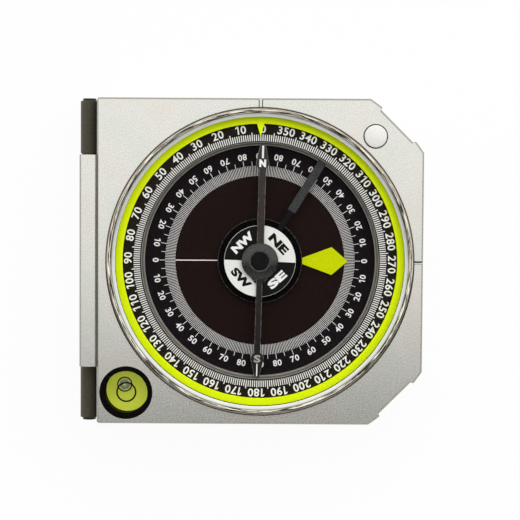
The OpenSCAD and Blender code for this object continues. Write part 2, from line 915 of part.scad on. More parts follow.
module button_spring() {
    color("silver")
        at_button()
            polyhedron(
                points = [
                    for (i = [0 : spring_rings])
                        for (k = [0 : spring_sides - 1])
                            spring_point(i, k)
                ],
                faces = concat(
                    [[for (k = [0 : spring_sides - 1]) spring_index(0, k)]],
                    [[for (k = [spring_sides - 1 : -1 : 0]) spring_index(spring_rings, k)]],
                    [
                        for (i = [0 : spring_rings - 1])
                            for (k = [0 : spring_sides - 1])
                                [spring_index(i, k + 1), spring_index(i, k), spring_index(i + 1, k)]
                    ],
                    [
                        for (i = [0 : spring_rings - 1])
                            for (k = [0 : spring_sides - 1])
                                [spring_index(i, k + 1), spring_index(i + 1, k), spring_index(i + 1, k + 1)]
                    ]
                )
            );
}

// Link arm on the north side
module link_arm() {
    color([0.25, 0.24, 0.2])
        difference() {
            union() {
                along_hinge(upper_z, arm_r, arm_in_y, arm_out_y);
                along_hinge(lower_z, arm_r, arm_in_y, arm_out_y);
                translate([axis_x - arm_r, arm_in_y, lower_z])
                    cube([2 * arm_r, arm_out_y - arm_in_y, upper_z - lower_z]);
            }
            for (z = [upper_z, lower_z])
                along_hinge(z, pin_r + seat_gap, arm_in_y - over, arm_out_y + over);
        }
}

module link_arm_north() {
    link_arm();
}

module link_arm_south() {
    mirror([0, 1, 0])
        link_arm();
}

module upper_hinge_pin() {
    color("silver")
        along_hinge(upper_z, pin_r, -arm_out_y, arm_out_y);
}

module lower_hinge_pin() {
    color("silver")
        along_hinge(lower_z, pin_r, -arm_out_y, arm_out_y);
}

module hinge_end_screws() {
    color("dimgray")
        for (side = [0, 1])
            mirror([0, side, 0])
                for (z = [upper_z, lower_z])
                    difference() {
                        along_hinge(z, end_screw_r, arm_out_y, half_w);
                        translate([axis_x, half_w, z])
                            rotate([-90, 0, 0])
                                head_slot(end_screw_r);
                    }
}

module lid_plate() {
    web_z = lower_z - knuckle_web / 2;
    color("gainsboro")
        difference() {
            union() {
                outline_block(0, lid_t);
                along_hinge(lower_z, arm_r, -bracket_half, bracket_half);
                translate([axis_x, -bracket_half, web_z])
                    cube([arm_r + pass_gap + edge_chamfer, bracket_len, knuckle_web]);
            }
            along_hinge(lower_z, pin_hole_r, -half_w, half_w);
            translate([0, 0, -over])
                cylinder(r = recess_r, h = recess_d + over);
            cylinder(r = mirror_r + seat_gap, h = recess_d + mirror_t + seat_gap);
        }
}

module lid_mirror() {
    color("lightblue")
        translate([0, 0, recess_d])
            cylinder(r = mirror_r, h = mirror_t);
}

module azimuth_ring() {
    color([0.15, 0.13, 0.12])
        difference() {
            union() {
                disc(azimuth_r, azimuth_top_d, azimuth_step_d);
                disc(ring_pitch_r - tooth_root, azimuth_step_d - over, azimuth_bottom_d);
                slab(azimuth_step_d - over, azimuth_bottom_d)
                    for (i = [-sector_teeth : sector_teeth])
                        on_bearing(pinion_bearing + 360 * i / ring_teeth)
                            tooth(ring_pitch_r, tooth_w);
            }
            disc(azimuth_inner_r, azimuth_top_d - over, azimuth_bottom_d + over);
        }
}

module declination_pinion() {
    color("goldenrod")
        at_pinion()
            slab(pinion_top_d, pinion_bottom_d)
                difference() {
                    union() {
                        circle(pinion_pitch_r - tooth_root);
                        for (i = [0 : pinion_teeth - 1])
                            rotate([0, 0, 180 + 360 * (i + 0.5) / pinion_teeth])
                                tooth(pinion_pitch_r, tooth_root / 4);
                    }
                    circle(journal_r + seat_gap);
                }
}

module declination_shaft() {
    color("silver")
        at_pinion()
            difference() {
                turned([
                    [0, body_h], [shaft_head_r, body_h], [shaft_head_r, body_h - shaft_head_t],
                    [shaft_r, body_h - shaft_head_t], [shaft_r, pinion_bottom_d],
                    [journal_r, pinion_bottom_d], [journal_r, journal_top_d], [0, journal_top_d]
                ]);
                translate([0, 0, body_z])
                    mirror([0, 0, 1])
                        head_slot(shaft_head_r);
            }
}

module clinometer_disc() {
    color([0.06, 0.06, 0.06])
        flat_ring(clino_r, bush_r + seat_gap, clino_top_d, clino_bottom_d);
}

module clinometer_pointer() {
    tab_r = (bush_r + clino_r) / 2;
    half_stem = kite_stem_w / 2;
    color("yellowgreen")
        slab(clino_bottom_d, kite_bottom_d)
            polygon([
                [tab_r, -half_stem], [clino_r, -half_stem], [kite_wide_r, -kite_w / 2], [kite_tip_r, 0],
                [kite_wide_r, kite_w / 2], [clino_r, half_stem], [tab_r, half_stem]
            ]);
}

module clinometer_bush() {
    color("goldenrod")
        flat_ring(bush_r, bush_bore_r, clino_top_d, dial_top_d - run_gap);
}

module lock_button() {
    dome_r = (button_r * button_r + button_dome * button_dome) / (2 * button_dome);
    color("white")
        at_button()
            intersection() {
                turned([
                    [0, -button_rise], [button_r, -button_rise], [button_r, flange_top_d],
                    [flange_r, flange_top_d], [flange_r, flange_bottom_d], [stem_r, flange_bottom_d],
                    [stem_r, stem_bottom_d], [0, stem_bottom_d]
                ]);
                translate([0, 0, z_at(dome_r - button_rise)])
                    sphere(dome_r);
            }
}

module lift_lever() {
    ear_len = dial_top_d - lever_bottom_d - lift_gap;
    ear_z = z_at(lever_bottom_d + ear_len);
    color([0.23, 0.24, 0.24])
        on_bearing(lever_bearing)
            difference() {
                union() {
                    slab(lever_top_d, lever_bottom_d)
                        difference() {
                            union() {
                                circle(eye_r);
                                translate([0, -lever_arm_w / 2])
                                    square([lever_step_r + over, lever_arm_w]);
                                intersection() {
                                    lever_outline();
                                    translate([lever_step_r, -half_w])
                                        square([half_w, body_w]);
                                }
                            }
                            circle(post_r + pass_gap);
                        }
                    for (side = [0, 1])
                        mirror([0, side, 0])
                            translate([lever_pivot_u - ear_half, lever_w / 2 - ear_t, ear_z])
                                cube([2 * ear_half, ear_t, ear_len + over]);
                }
                lever_pin_hole(run_gap);
            }
}

module lift_collar() {
    color("goldenrod")
        flat_ring(collar_r, post_neck_r + run_gap, collar_top_d, collar_bottom_d);
}

// One arm of the needle along the local X axis, with its pad narrowing to a round tip
module needle_arm(w) {
    tip_u = needle_len - w / 2;
    translate([0, -w / 2])
        square([tip_u, w]);
    translate([tip_u, 0])
        circle(w / 2);
    translate([pad_u, 0])
        circle(pad_r);
    polygon([[pad_u, -pad_r], [tip_u, -w / 2], [tip_u, w / 2], [pad_u, pad_r]]);
}

module needle_bar() {
    color([0.22, 0.2, 0.2])
        rotate([0, 0, needle_heading])
            slab(bar_top_d, bar_bottom_d)
                difference() {
                    union() {
                        rotate([0, 0, 90])
                            needle_arm(north_arm_w);
                        rotate([0, 0, -90])
                            needle_arm(south_arm_w);
                        circle(hub_r / 2);
                    }
                    circle(jewel_r + seat_gap);
                }
}

// Flare that leads from the hub into the south arm
module hub_flare() {
    root = hub_r - pass_gap;
    half = south_arm_w / 2 + pass_gap;
    end_y = -hub_r - flare_reach;
    polygon([
        [-root * sin(flare_angle), -root * cos(flare_angle)], [-half, end_y],
        [half, end_y], [root * sin(flare_angle), -root * cos(flare_angle)]
    ]);
}

module needle_hub() {
    color([0.2, 0.2, 0.2])
        rotate([0, 0, needle_heading])
            difference() {
                union() {
                    disc(hub_r, hub_top_d, hub_bottom_d);
                    slab(bar_top_d, hub_bottom_d)
                        hub_flare();
                }
                disc(jewel_r + seat_gap, hub_bottom_d - jewel_h - seat_gap, hub_bottom_d + over);
                slab(bar_top_d - seat_gap, hub_bottom_d + over) {
                    circle(hub_r / 2 + seat_gap);
                    translate([-north_arm_w / 2 - seat_gap, 0])
                        square([north_arm_w + 2 * seat_gap, 2 * hub_r]);
                    translate([-south_arm_w / 2 - seat_gap, -2 * hub_r])
                        square([south_arm_w + 2 * seat_gap, 2 * hub_r]);
                }
            }
}

module needle_cap() {
    color([0.1, 0.1, 0.1])
        turned([
            [0, cap_top_d], [cap_r - cap_h, cap_top_d], [cap_r, cap_top_d + cap_h / 2],
            [cap_r, hub_top_d], [0, hub_top_d]
        ]);
}

module quadrant_disc() {
    color("white")
        flat_ring(quadrant_r, post_r + run_gap, hub_bottom_d, quadrant_bottom_d);
}

module jewel_bearing() {
    top_d = hub_bottom_d - jewel_h;
    cup_r = jewel_h - jewel_skin + tip_flat_r + seat_gap;
    color("crimson")
        turned([
            [0, top_d], [jewel_r, top_d], [jewel_r, hub_bottom_d],
            [cup_r, hub_bottom_d], [0, top_d + jewel_skin - tip_flat_r]
        ]);
}

body_housing();
bottom_cover();
bottom_cover_screws();
hinge_bracket();
bracket_screws();
upper_hinge_washers();
bezel_ring();
crystal_lens();
lens_gasket();
index_ring();
dial_plate();
dial_rim();
damping_cup();
pivot_post();
lever_post();
lever_pin();
level_cup();
level_plug();
level_fluid();
level_window();
button_bushing();
button_spring();
link_arm_north();
link_arm_south();
upper_hinge_pin();
lower_hinge_pin();
hinge_end_screws();
lid_plate();
lid_mirror();
lower_hinge_washers();
azimuth_ring();
declination_pinion();
declination_shaft();
clinometer_disc();
clinometer_pointer();
clinometer_bush();
lock_button();
lift_lever();
lift_collar();
needle_bar();
needle_hub();
needle_cap();
quadrant_disc();
jewel_bearing();
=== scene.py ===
"""Geological compass: finishes, printed scales, bubble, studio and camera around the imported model.

Lengths are in metres. North on the dial is +Y and the hinge is at -X.
"""
import math

import bpy
from mathutils import Matrix, Vector


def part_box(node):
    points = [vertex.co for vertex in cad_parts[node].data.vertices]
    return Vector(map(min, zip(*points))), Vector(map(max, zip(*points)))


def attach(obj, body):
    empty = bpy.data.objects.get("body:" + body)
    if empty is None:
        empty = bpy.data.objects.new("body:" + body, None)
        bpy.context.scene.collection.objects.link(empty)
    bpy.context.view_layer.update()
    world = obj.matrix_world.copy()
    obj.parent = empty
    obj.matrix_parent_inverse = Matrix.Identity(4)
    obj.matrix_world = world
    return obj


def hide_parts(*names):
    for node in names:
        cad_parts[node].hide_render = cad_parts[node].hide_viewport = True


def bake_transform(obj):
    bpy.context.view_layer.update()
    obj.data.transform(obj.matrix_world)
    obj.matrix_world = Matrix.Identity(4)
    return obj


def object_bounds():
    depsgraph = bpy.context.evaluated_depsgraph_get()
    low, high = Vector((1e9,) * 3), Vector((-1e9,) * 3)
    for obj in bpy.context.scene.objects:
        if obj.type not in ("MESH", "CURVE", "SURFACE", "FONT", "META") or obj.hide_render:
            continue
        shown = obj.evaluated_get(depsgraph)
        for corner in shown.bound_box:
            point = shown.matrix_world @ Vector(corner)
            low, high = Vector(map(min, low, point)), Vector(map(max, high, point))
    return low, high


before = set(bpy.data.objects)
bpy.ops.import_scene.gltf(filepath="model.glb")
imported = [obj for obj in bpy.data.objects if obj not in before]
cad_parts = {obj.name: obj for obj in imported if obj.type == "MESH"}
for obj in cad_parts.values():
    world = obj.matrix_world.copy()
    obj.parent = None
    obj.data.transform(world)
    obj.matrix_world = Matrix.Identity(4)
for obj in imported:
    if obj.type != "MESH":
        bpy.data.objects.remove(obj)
cad_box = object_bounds()

MM = 0.001

# Print is a thin raised layer with a crowned top, half of it sunk into the face that carries it
PRINT_T = 0.04 * MM
CROWN = 0.02 * MM
CROWN_INSET = 0.125

# Words before they are sized, and the pitch of a number's figures in widths of a zero
WORD_HALF_T = 0.5
WORD_CURVE_STEPS = 3
WORD_MERGE = 0.0005
NUMBER_WEIGHT = 0.02
NUMBER_PITCH = 1.12

# Figure one: its stroke before weight, its shift to the right, where its flag starts and how the flag hangs
ONE_STROKE = 0.085
ONE_SHIFT = 0.06
ONE_FLAG_FROM = 0.3
ONE_FLAG = (-0.17, -0.1, 0)

# Widths over which one paint passes into the next
ZONE_BLUR = 0.1 * MM
LINE_BLUR = 0.04 * MM
WEAR_BLUR = 0.02 * MM

# How quickly glass turns into a mirror as the view gets slanted
SLANT_POWER = 5.0

# Glow painted into the day-glow plastics, that lifts them out of the shade they lie in
BAND_PAINTED_GLOW = 0.08
PLUG_PAINTED_GLOW = 0.22

# Faces that carry print, and the place of the level
AZIMUTH_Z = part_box("azimuth_ring")[1].z
DIAL_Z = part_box("dial_plate")[1].z
QUADRANT_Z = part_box("quadrant_disc")[1].z
NEEDLE_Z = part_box("needle_bar")[1].z
WINDOW_LOW_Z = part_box("level_window")[0].z
BODY_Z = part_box("body_housing")[1].z
LEVEL_LOW, LEVEL_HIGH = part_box("level_cup")
LEVEL_X = (LEVEL_LOW.x + LEVEL_HIGH.x) / 2
LEVEL_Y = (LEVEL_LOW.y + LEVEL_HIGH.y) / 2

# Azimuth ring: numbers run counter-clockwise, and the print is set a little clockwise
AZIMUTH_TURN = math.radians(-1.1)
AZIMUTH_NUMBER_R = 33.85 * MM
AZIMUTH_NUMBER_H = 2.1 * MM
AZIMUTH_DIGIT_W = 1.4 * MM
AZIMUTH_TICK_R = 30.75 * MM
AZIMUTH_TICK_W = 0.25 * MM
AZIMUTH_TICK_1 = 1.65 * MM
AZIMUTH_TICK_5 = 2.2 * MM
AZIMUTH_TICK_10 = 1.75 * MM

# Dial: four quadrants from 0 at east and west to 90 at north and south
DIAL_NUMBER_R = 26.95 * MM
DIAL_NUMBER_H = 1.6 * MM
DIAL_DIGIT_W = 1.07 * MM
DIAL_TICK_R = 21.85 * MM
DIAL_TICK_W = 0.13 * MM
DIAL_TICK_1 = 2.65 * MM
DIAL_TICK_5 = 3.75 * MM
DIAL_TICK_10 = 4.1 * MM
DIAL_LINE_R = 10.5 * MM
DIAL_LINE_W = 0.24 * MM

# Needle and its quadrant disc, which turn clockwise from north at rest
NEEDLE_TURN = math.radians(-1.3)
QUADRANT_TURN = math.radians(-2.2)
QUADRANT_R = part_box("quadrant_disc")[1].x
QUARTER_EDGE = 0.08 * MM
QUARTER_HOLE_R = 2 * MM
QUARTER_LETTER_R = 6.5 * MM
QUARTER_LETTER_H = 2.25 * MM
QUARTER_LETTER_WEIGHT = 0.055
QUARTER_STEPS = 48
PAD_R = 25.1 * MM
PAD_LETTER_H = 1.95 * MM
PAD_LETTER_W = 1.75 * MM
TIP_LINE_R = 28 * MM
TIP_LINE_L = 3.2 * MM
NORTH_TIP_W = 0.5 * MM
SOUTH_TIP_W = 0.3 * MM
PAD_NORTH_WEIGHT = 0.07
PAD_SOUTH_WEIGHT = 0.04

# Letters of the quadrant disc: bearing and turn in degrees, width, and whether they lie on black
QUARTER_WORDS = [
    ("NE", 45, -45, 5.9 * MM, False), ("SW", 225, -45, 6.2 * MM, False),
    ("NW", 315, 45, 6.6 * MM, True), ("SE", 135, 45, 5.4 * MM, True),
]

# The lift lever's inner arm is painted black up to this radius, as the shade it lies in
LEVER_STEP_R = 15.2 * MM

# Lock button, and the gap round it where shade is painted dark
BUTTON_LOW, BUTTON_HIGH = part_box("lock_button")
BUTTON_GAP_R = 3.05 * MM

# Hinge arms, which share their place from west to east
ARM_LOW, ARM_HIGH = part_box("link_arm_north")

# Rim of the clinometer's hub, along which a grey highlight is painted
CLINOMETER_RIM_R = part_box("clinometer_disc")[1].x - 0.16 * MM

# Engraved lines, from the bezel's foot to the body's edge, with shade painted along their walls
BODY_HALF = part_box("body_housing")[1].y - 0.3 * MM
GROOVE_R = 39.25 * MM
NORTH_GROOVE_W = 1 * MM
NORTH_LINE_W = 0.17 * MM
EAST_GROOVE_W = 0.7 * MM
EAST_LINE_W = 0.34 * MM

# Bezel, as radii and heights of its section in mm, and the radii at which its finish changes: painted shade
# on the foot, a painted highlight line, the crest, and a cove painted darker towards the crest
BEZEL_FOOT_R = 38.86 * MM
BEZEL_LINE_R = 38.6 * MM
BEZEL_COVE_R = 37.85 * MM
BEZEL_LIP_R = 37 * MM
BEZEL_SECTION = [
    (39.2, 21.9), (39.2, 24.5), (39.1, 24.85), (38.95, 25.04), (38.75, 25.1), (38.05, 25.1), (37.92, 25.05),
    (37.8, 24.88), (37.55, 24.6), (37.3, 24.42), (36.85, 24.3), (36.85, 24.1), (38.3, 24.1), (38.3, 21.9),
]

# Rim between the scales: a cone that leans inwards, as radii and heights of its section in mm
RIM_SECTION = [
    (29.7, 16.85), (30.6, 16.85), (30.6, 19.04), (30.54, 19.1), (30.42, 19.1), (29.76, 18.36), (29.7, 18.25),
]
RIM_IN_R = RIM_SECTION[0][0] * MM
RIM_OUT_R = RIM_SECTION[1][0] * MM

# Low cone of the hub round its cap, as radii and heights above the hub's top in mm
HUB_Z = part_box("needle_hub")[1].z
HUB_CONE = [(2.34, -0.03), (4.5, -0.03), (4.42, 0.06), (2.85, 0.33), (2.6, 0.36), (2.34, 0.3)]

# A face looks along an axis when its normal has at least this share of it
FACING = 0.9

# Turned pieces: steps of a turn, and how near points merge
TURN_STEPS = 256
SMALL_TURN_STEPS = 96
THIN_RING_STEPS = 64
MERGE = 0.0005 * MM

# Copies of nodes: how near points merge, how level flats are, which edges are softened
COPY_MERGE = 0.0001 * MM
FLAT_WITHIN = math.radians(0.5)
SOFT_FROM = math.radians(35)

# Angles up to which shading is smooth
COPY_SMOOTH = math.radians(30)
TURNED_SMOOTH = math.radians(40)
SOFT_SMOOTH = math.radians(50)
COIL_SMOOTH = math.radians(70)

# Bubble level
TARGET_R = 2.6 * MM
TARGET_W = 0.42 * MM
BUBBLE_R = 1.97 * MM
BUBBLE_EDGE = 0.34 * MM
BUBBLE_DEPTH = 0.9 * MM
BUBBLE_SEGMENTS = 48
BUBBLE_RINGS = 24
BUBBLE_X = LEVEL_X - 0.4 * MM
BUBBLE_Y = LEVEL_Y + 2 * MM

# Floor, lamp, and brightness of the sky from south to north
FLOOR_SIZE = 60
FLOOR_GAP = 0.2 * MM
FLOOR_GLOW = 0.94
LAMP_PLACE = Vector((0.14, 0.26, 0.44))
LAMP_AIM = Vector((0, 0, 0.02))
LAMP_SIZE = (0.7, 0.4)
LAMP_POWER = 1.3
LAMP_COLOUR = (1, 0.99, 0.97)
SKY = [(0.0, 0.7), (0.2, 0.45), (0.34, 0.1), (0.43, 0.05), (0.458, 1.0)]

# Camera: straight above, leaning a little to the north; the span is what the picture shows at the body's face
PHOTO_SPAN = 132.15 * MM
SENSOR_W = 36
CAMERA_CLIP = 0.01
CAMERA_D = 420 * MM
CAMERA_LEAN = math.radians(2.8)
CAMERA_ROLL = math.radians(0.35)
CAMERA_AIM = Vector((0.025 * MM, 0.508 * MM, BODY_Z))


# Nodes of a finish


def shader_of(material):
    """The shader of a finish."""
    return material.node_tree.nodes["Principled BSDF"]


def new_finish(name, colour, roughness, metallic=0.0, sheen=0.5):
    """A material with one shader, its constants set, and the tree that takes the detail."""
    material = bpy.data.materials.new(name)
    material.use_nodes = True
    shader = shader_of(material)
    shader.inputs["Base Color"].default_value = (*colour, 1)
    shader.inputs["Roughness"].default_value = roughness
    shader.inputs["Metallic"].default_value = metallic
    shader.inputs["Specular IOR Level"].default_value = sheen
    return material, material.node_tree, shader


def surface_point(tree):
    """The point on the piece, in metres from the dial axis."""
    return tree.nodes.new("ShaderNodeTexCoord").outputs["Object"]


def noise(tree, scale, detail=2.0, point=None):
    """Noise whose grains measure about one over scale, in metres."""
    node = tree.nodes.new("ShaderNodeTexNoise")
    node.inputs["Scale"].default_value = scale
    node.inputs["Detail"].default_value = detail
    tree.links.new(surface_point(tree) if point is None else point, node.inputs["Vector"])
    return node.outputs["Fac"]


def worked(tree, kind, operation, first, second=None):
    """A node of arithmetic on a socket; its second value is a constant or another socket."""
    node = tree.nodes.new(kind)
    node.operation = operation
    tree.links.new(first, node.inputs[0])
    if isinstance(second, bpy.types.NodeSocket):
        tree.links.new(second, node.inputs[1])
    elif second is not None:
        node.inputs[1].default_value = second
    return node.outputs


def number_step(tree, operation, first, second=None):
    """Arithmetic with numbers."""
    return worked(tree, "ShaderNodeMath", operation, first, second)["Value"]


def vector_step(tree, operation, first, second=None):
    """Arithmetic with vectors."""
    return worked(tree, "ShaderNodeVectorMath", operation, first, second)["Vector"]


def length_of(tree, vector):
    return worked(tree, "ShaderNodeVectorMath", "LENGTH", vector)["Value"]


def flat_point(tree):
    """The point on the piece without its height."""
    return vector_step(tree, "MULTIPLY", surface_point(tree), (1, 1, 0))


def dial_radius(tree):
    """Distance of the point from the dial axis."""
    return length_of(tree, flat_point(tree))


def distance(tree, axis):
    """How far the point lies from the dial axis, to the east along X or to the north along Y."""
    split = tree.nodes.new("ShaderNodeSeparateXYZ")
    tree.links.new(surface_point(tree), split.inputs["Vector"])
    return split.outputs[axis]


def spread(tree, centre, radius):
    """Level distance of the point from a centre, as a share of a radius."""
    shifted = vector_step(tree, "SUBTRACT", surface_point(tree), centre)
    return length_of(tree, vector_step(tree, "MULTIPLY", shifted, (1 / radius, 1 / radius, 0)))


def turning_lines(tree, scale):
    """Fine rings about the dial axis, as a lathe leaves them."""
    node = tree.nodes.new("ShaderNodeTexNoise")
    node.noise_dimensions = "1D"
    node.inputs["Scale"].default_value = scale
    node.inputs["Detail"].default_value = 3.0
    tree.links.new(dial_radius(tree), node.inputs["W"])
    return node.outputs["Fac"]


def ramp(tree, factor, stops):
    """Colours between stops, each a position and a colour."""
    node = tree.nodes.new("ShaderNodeValToRGB")
    elements = node.color_ramp.elements
    while len(elements) < len(stops):
        elements.new(1.0)
    for element, (position, colour) in zip(elements, stops):
        element.position = position
        element.color = (*colour, 1)
    tree.links.new(factor, node.inputs["Fac"])
    return node.outputs["Color"]


def mottle(tree, factor, dark, light):
    """Two tones of a grain."""
    return ramp(tree, factor, [(0.3, dark), (0.7, light)])


def ranged(tree, factor, low, high, start=0.3, end=0.7):
    """Numbers from low to high as the factor goes from start to end."""
    node = tree.nodes.new("ShaderNodeMapRange")
    node.inputs["From Min"].default_value = start
    node.inputs["From Max"].default_value = end
    node.inputs["To Min"].default_value = low
    node.inputs["To Max"].default_value = high
    tree.links.new(factor, node.inputs["Value"])
    return node.outputs["Result"]


def between(tree, factor, start, end):
    """How far the factor has come from start to end, from 0 to 1."""
    return ranged(tree, factor, 0.0, 1.0, start, end)


def blended(tree, first, second, factor=1.0, kind="MULTIPLY"):
    """Two colours blended."""
    node = tree.nodes.new("ShaderNodeMix")
    node.data_type = "RGBA"
    node.blend_type = kind
    if isinstance(factor, float):
        node.inputs["Factor"].default_value = factor
    else:
        tree.links.new(factor, node.inputs["Factor"])
    tree.links.new(first, node.inputs["A"])
    tree.links.new(second, node.inputs["B"])
    return node.outputs["Result"]


def colour_from(tree, shader, colour):
    tree.links.new(colour, shader.inputs["Base Color"])


def paint_of(shader):
    """The colour that a shader has so far."""
    return shader.inputs["Base Color"].links[0].from_socket


def roughness_from(tree, shader, factor, low, high):
    tree.links.new(ranged(tree, factor, low, high), shader.inputs["Roughness"])


def bump_from(tree, shader, height, depth):
    """Bump of the given depth in metres."""
    node = tree.nodes.new("ShaderNodeBump")
    node.inputs["Strength"].default_value = 1.0
    node.inputs["Distance"].default_value = depth
    tree.links.new(height, node.inputs["Height"])
    tree.links.new(node.outputs["Normal"], shader.inputs["Normal"])


def streaks(tree, along, across):
    """Noise drawn out round the dial axis: along its turn and across it."""
    heading = vector_step(tree, "NORMALIZE", flat_point(tree))
    turn = vector_step(tree, "MULTIPLY", heading, (along, along, 0))
    radius = tree.nodes.new("ShaderNodeCombineXYZ")
    tree.links.new(number_step(tree, "MULTIPLY", dial_radius(tree), across), radius.inputs["Z"])
    return noise(tree, 1.0, point=vector_step(tree, "ADD", turn, radius.outputs["Vector"]))


def upright(tree):
    """How far the face looks straight up or down, from 0 on walls to 1 on flats."""
    split = tree.nodes.new("ShaderNodeSeparateXYZ")
    tree.links.new(tree.nodes.new("ShaderNodeTexCoord").outputs["Normal"], split.inputs["Vector"])
    return number_step(tree, "ABSOLUTE", split.outputs["Z"])


def grained(name, dark, light, rough, grain=2600, depth=0.003 * MM, metallic=0.0, sheen=0.5):
    """A finish with a fine grain in its colour, gloss and surface."""
    material, tree, shader = new_finish(name, light, rough[0], metallic, sheen)
    fine = noise(tree, grain)
    colour_from(tree, shader, mottle(tree, fine, dark, light))
    roughness_from(tree, shader, fine, *rough)
    bump_from(tree, shader, fine, depth)
    return material


def day_glow(material, colour, strength):
    """Painted light: a glow added to a plastic's colour, as a fluorescent plastic would have, that lifts it
    out of shade.
    """
    shader = shader_of(material)
    shader.inputs["Emission Color"].default_value = (*colour, 1)
    shader.inputs["Emission Strength"].default_value = strength
    return material


# Finishes


def blasted_aluminium(name="blasted_aluminium"):
    """Bead-blasted aluminium: bright grain, faint warm and cool patches, chamfers painted darker as the shade
    along the edges.
    """
    material, tree, shader = new_finish(name, (0.8, 0.8, 0.77), 0.3, 0.9)
    fine = noise(tree, 3000, 3.0)
    patch = noise(tree, 110, 2.0)
    grain = mottle(tree, fine, (0.73, 0.715, 0.66), (0.92, 0.91, 0.85))
    tone = ramp(tree, patch, [(0.35, (1.0, 0.97, 0.96)), (0.5, (1, 1, 1)), (0.65, (0.96, 0.99, 0.97))])
    # Painted shade: chamfers and other slanted faces are painted darker, as the shade along the edges
    edge = ramp(tree, upright(tree), [
        (0.1, (1, 1, 1)), (0.3, (0.5, 0.5, 0.48)), (0.95, (0.5, 0.5, 0.48)), (0.995, (1, 1, 1)),
    ])
    metal = blended(tree, blended(tree, grain, tone), edge)
    colour_from(tree, shader, metal)
    roughness_from(tree, shader, fine, 0.17, 0.24)
    bump_from(tree, shader, fine, 0.002 * MM)
    return material


def body_aluminium():
    """The same aluminium with shade painted near black in the gap round the button."""
    material = blasted_aluminium("body_aluminium")
    tree = material.node_tree
    shader = shader_of(material)
    gap = spread(tree, (BUTTON_LOW + BUTTON_HIGH) / 2, BUTTON_GAP_R)
    # Painted shade: the body is painted near black in the gap round the button
    gap_shade = ramp(tree, gap, [(0.98, (0.02, 0.018, 0.015)), (1.0, (1, 1, 1))])
    colour_from(tree, shader, blended(tree, paint_of(shader), gap_shade))
    return material


def turned_bezel():
    """Foot painted dark as shade, a painted highlight line, tan crest with streaks, and a satin cove painted
    darker towards the crest as shade, so that it pales towards the lens.
    """
    material, tree, shader = new_finish("turned_bezel", (0.9, 0.87, 0.8), 0.2, 0.8)
    lines = streaks(tree, 9.0, 5500.0)
    radius = dial_radius(tree)
    crest = ramp(tree, lines, [
        (0.45, (0.035, 0.027, 0.016)), (0.5, (0.42, 0.37, 0.28)), (0.56, (1, 0.94, 0.8)),
    ])
    # Painted light: the foot is painted dark as shade, the line bright as a highlight, and the cove darker
    # towards the crest as shade
    bright = ramp(tree, lines, [(0.35, (0.4, 0.35, 0.27)), (0.6, (0.75, 0.7, 0.6))])
    foot = mottle(tree, lines, (0.05, 0.04, 0.028), (0.11, 0.092, 0.066))
    pale = mottle(tree, lines, (0.68, 0.7, 0.67), (0.84, 0.87, 0.83))
    cove = ramp(tree, between(tree, radius, BEZEL_LIP_R, BEZEL_COVE_R), [
        (0.3, (1, 1, 1)), (0.7, (0.85, 0.85, 0.8)), (0.85, (0.4, 0.38, 0.33)), (1.0, (0.1, 0.09, 0.07)),
    ])
    face = blended(tree, pale, cove)
    for start, zone in ((BEZEL_COVE_R, crest), (BEZEL_LINE_R, bright), (BEZEL_FOOT_R, foot)):
        share = between(tree, radius, start - LINE_BLUR, start + LINE_BLUR)
        face = blended(tree, face, zone, share, "MIX")
    colour_from(tree, shader, face)
    gloss = ranged(tree, radius, 0.35, 0.1, BEZEL_COVE_R, BEZEL_COVE_R + ZONE_BLUR)
    tree.links.new(gloss, shader.inputs["Roughness"])
    bare = ranged(tree, radius, 0.35, 0.8, BEZEL_COVE_R - ZONE_BLUR, BEZEL_COVE_R)
    tree.links.new(bare, shader.inputs["Metallic"])
    bump_from(tree, shader, lines, 0.003 * MM)
    return material


def turned_rim():
    """Satin grey ring between the two scales, with highlights painted along its edges and its flat painted
    darker.
    """
    material, tree, shader = new_finish("turned_rim", (0.4, 0.39, 0.37), 0.4, 0.6)
    lines = turning_lines(tree, 6000)
    metal = mottle(tree, lines, (0.34, 0.325, 0.3), (0.5, 0.485, 0.45))
    # Painted highlights: the ring is painted bright along both edges and darker across its flat
    wear_and_painted_light = ramp(tree, between(tree, dial_radius(tree), RIM_IN_R, RIM_OUT_R), [
        (0.16, (1.7, 1.65, 1.55)), (0.26, (0.62, 0.61, 0.6)),
        (0.76, (0.62, 0.61, 0.6)), (0.86, (1.4, 1.38, 1.3)),
    ])
    colour_from(tree, shader, blended(tree, metal, wear_and_painted_light))
    roughness_from(tree, shader, lines, 0.3, 0.45)
    bump_from(tree, shader, lines, 0.003 * MM)
    return material


def dark_hinge_paint():
    """Dark olive-brown paint with a soft mottle, painted paler on the outside and darker towards the body as
    its shade.
    """
    material, tree, shader = new_finish("dark_hinge_paint", (0.065, 0.057, 0.04), 0.5, 0.0, 0.3)
    fine = noise(tree, 2400)
    patch = noise(tree, 180)
    grain = mottle(tree, fine, (0.048, 0.041, 0.028), (0.082, 0.072, 0.05))
    tone = ramp(tree, patch, [(0.35, (1, 0.94, 0.86)), (0.65, (0.92, 1, 0.94))])
    # Painted shade: paler on the outside, darker towards the body that shades the arms
    wear_and_painted_light = ramp(tree, between(tree, distance(tree, "X"), ARM_LOW.x, ARM_HIGH.x), [
        (0.1, (1.25, 1.25, 1.25)), (0.55, (0.9, 0.88, 0.84)), (0.95, (0.3, 0.29, 0.27)),
    ])
    colour_from(tree, shader, blended(tree, blended(tree, grain, tone), wear_and_painted_light))
    roughness_from(tree, shader, fine, 0.42, 0.58)
    bump_from(tree, shader, fine, 0.005 * MM)
    return material


